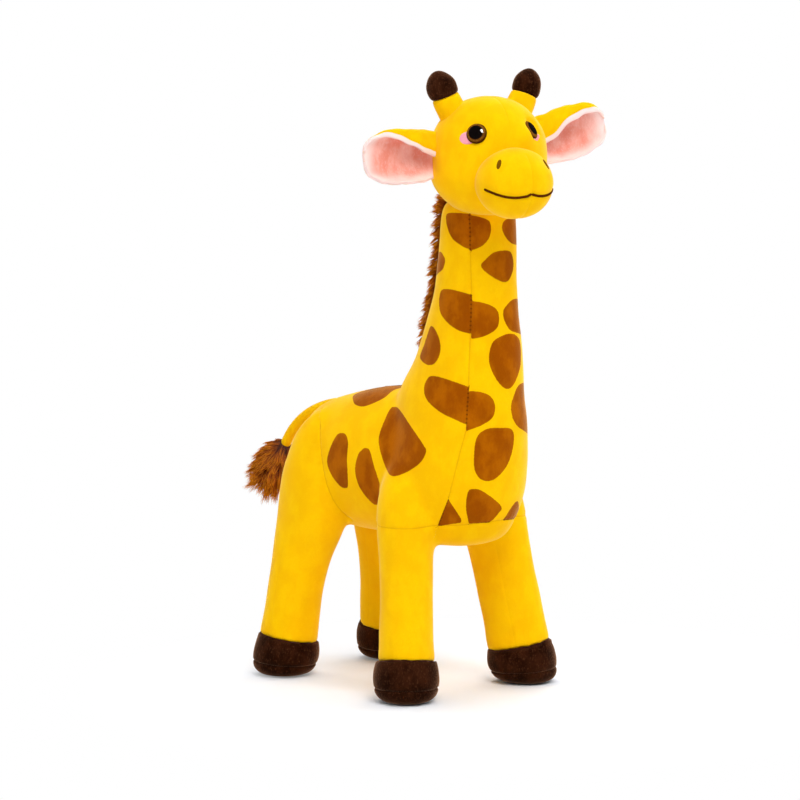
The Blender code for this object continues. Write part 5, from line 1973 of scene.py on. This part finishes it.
def make_floor():
    """A pale floor that keeps the giraffe's shadow and runs out to the white background."""
    material = bpy.data.materials.new("studio_floor")
    material.use_nodes = True
    tree = material.node_tree
    finish = Finish(tree)
    shader = tree.nodes["Principled BSDF"]
    shader.inputs["Base Color"].default_value = (0.86, 0.88, 0.92, 1)
    shader.inputs["Roughness"].default_value = 0.7
    shader.inputs["Specular IOR Level"].default_value = 0.0
    white = finish.node("ShaderNodeEmission", {"Color": (1, 1, 1, 1), "Strength": 1.0})
    place = finish.place()
    middle = (0.03, -0.06, 0)
    away = finish.node("ShaderNodeVectorMath", {0: place, 1: middle}, operation="DISTANCE").outputs["Value"]
    far = finish.between(away, 0.08, 0.29, 0.0, 1.0)
    seen = finish.node("ShaderNodeLightPath").outputs["Is Camera Ray"]
    share = finish.sum("MULTIPLY", far, seen)
    mixed = finish.node("ShaderNodeMixShader", {0: share, 1: shader.outputs[0], 2: white.outputs[0]})
    output = next(node for node in tree.nodes if node.type == "OUTPUT_MATERIAL")
    tree.links.new(mixed.outputs[0], output.inputs["Surface"])
    size = FLOOR_HALF
    corners = [(-size, -size, 0), (size, -size, 0), (size, size, 0), (-size, size, 0)]
    floor = sewn_piece("studio_floor", corners, [[0, 1, 2, 3]], material)


def make_world():
    world = bpy.data.worlds.new("studio")
    bpy.context.scene.world = world
    world.use_nodes = True
    tree = world.node_tree
    finish = Finish(tree)
    background = tree.nodes["Background"]
    background.inputs["Color"].default_value = (1, 1, 1, 1)
    path = finish.node("ShaderNodeLightPath").outputs
    seen = finish.sum("MAXIMUM", path["Is Camera Ray"], path["Is Transmission Ray"])
    seen = finish.sum("MAXIMUM", seen, path["Is Glossy Ray"])
    strength = finish.node("ShaderNodeMix", data_type="FLOAT")
    finish.feed(strength.inputs[0], seen)
    strength.inputs[2].default_value = AMBIENT
    strength.inputs[3].default_value = 1.0
    finish.feed(background.inputs["Strength"], strength.outputs[0])


# Name, degrees round from the front, degrees up, distance, size, power, what it lights.
SOFTBOXES = (
    ("key_softbox", -24, 50, 1.8, 0.9, 19.0, "soft"),
    ("eye_glint", -17, 46, 1.6, 0.60, 760.0, "gloss"),
    ("left_softbox", -95, 35, 1.8, 1.2, 6.5, "soft"),
    ("right_softbox", 66, 28, 1.9, 1.2, 12.5, "soft"),
    ("rim_softbox", 112, 30, 1.9, 1.0, 14.0, "soft"),
    ("top_softbox", 165, 58, 1.9, 1.2, 15.0, "soft"),
)


def make_softboxes():
    aim = Vector((0, 0, 0.2))
    for name, turn, rise, away, size, power, lit in SOFTBOXES:
        light = bpy.data.lights.new(name, "AREA")
        light.shape = "DISK" if lit == "gloss" else "SQUARE"
        light.size = size
        light.energy = power
        item = bpy.data.objects.new(name, light)
        turn, rise = math.radians(turn), math.radians(rise)
        level = math.cos(rise)
        out = Vector((math.sin(turn) * level, -math.cos(turn) * level, math.sin(rise)))
        item.location = aim + out * away
        item.rotation_euler = (-out).to_track_quat("-Z", "Y").to_euler()
        item.visible_glossy = lit == "gloss"
        item.visible_diffuse = lit == "soft"
        bpy.context.scene.collection.objects.link(item)


def make_camera():
    origin, target = camera_places()
    camera = bpy.data.cameras.new("photo_camera")
    camera.sensor_width = SENSOR
    camera.lens = LENS
    camera.clip_start = 0.05
    camera.clip_end = 50
    item = bpy.data.objects.new("photo_camera", camera)
    item.location = origin
    item.rotation_euler = (target - origin).to_track_quat("-Z", "Y").to_euler()
    bpy.context.scene.collection.objects.link(item)
    bpy.context.scene.camera = item


def main():
    scene = bpy.context.scene
    scene.view_settings.view_transform = "Standard"
    groups = {"pile": short_pile_group(), "seam": sewn_seam_group()}
    yellow = yellow_finish(groups, "yellow_plush", False)
    yellow_seamed = yellow_finish(groups, "yellow_plush_seamed", True)
    dark = dark_plush_finish(groups)
    fur = fur_finish("brown_fur")
    skin = make_body_skin(spotted_finish(groups))
    make_feet(dark)
    head = make_head_skin(yellow_seamed)
    muzzle = make_muzzle_skin(yellow_seamed)
    make_horns(yellow, dark)
    make_ears(yellow, ear_lining_finish(groups))
    make_eyes(eye_finish())
    make_blush(head, felt_finish())
    make_nostrils(muzzle, thread_finish("nostril_thread", NOSTRIL_THREAD, NOSTRIL_THREAD_LIT))
    make_mouth(muzzle, thread_finish("mouth_thread", MOUTH_THREAD, MOUTH_THREAD_LIT))
    make_tail(yellow)
    make_mane(skin, fur)
    make_tuft(fur)
    washer = washer_finish()
    for hand in SIDES:
        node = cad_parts[f"eye_washer_{hand}"]
        node.data.materials.clear()
        node.data.materials.append(washer)
    make_floor()
    make_world()
    make_softboxes()
    make_camera()


main()
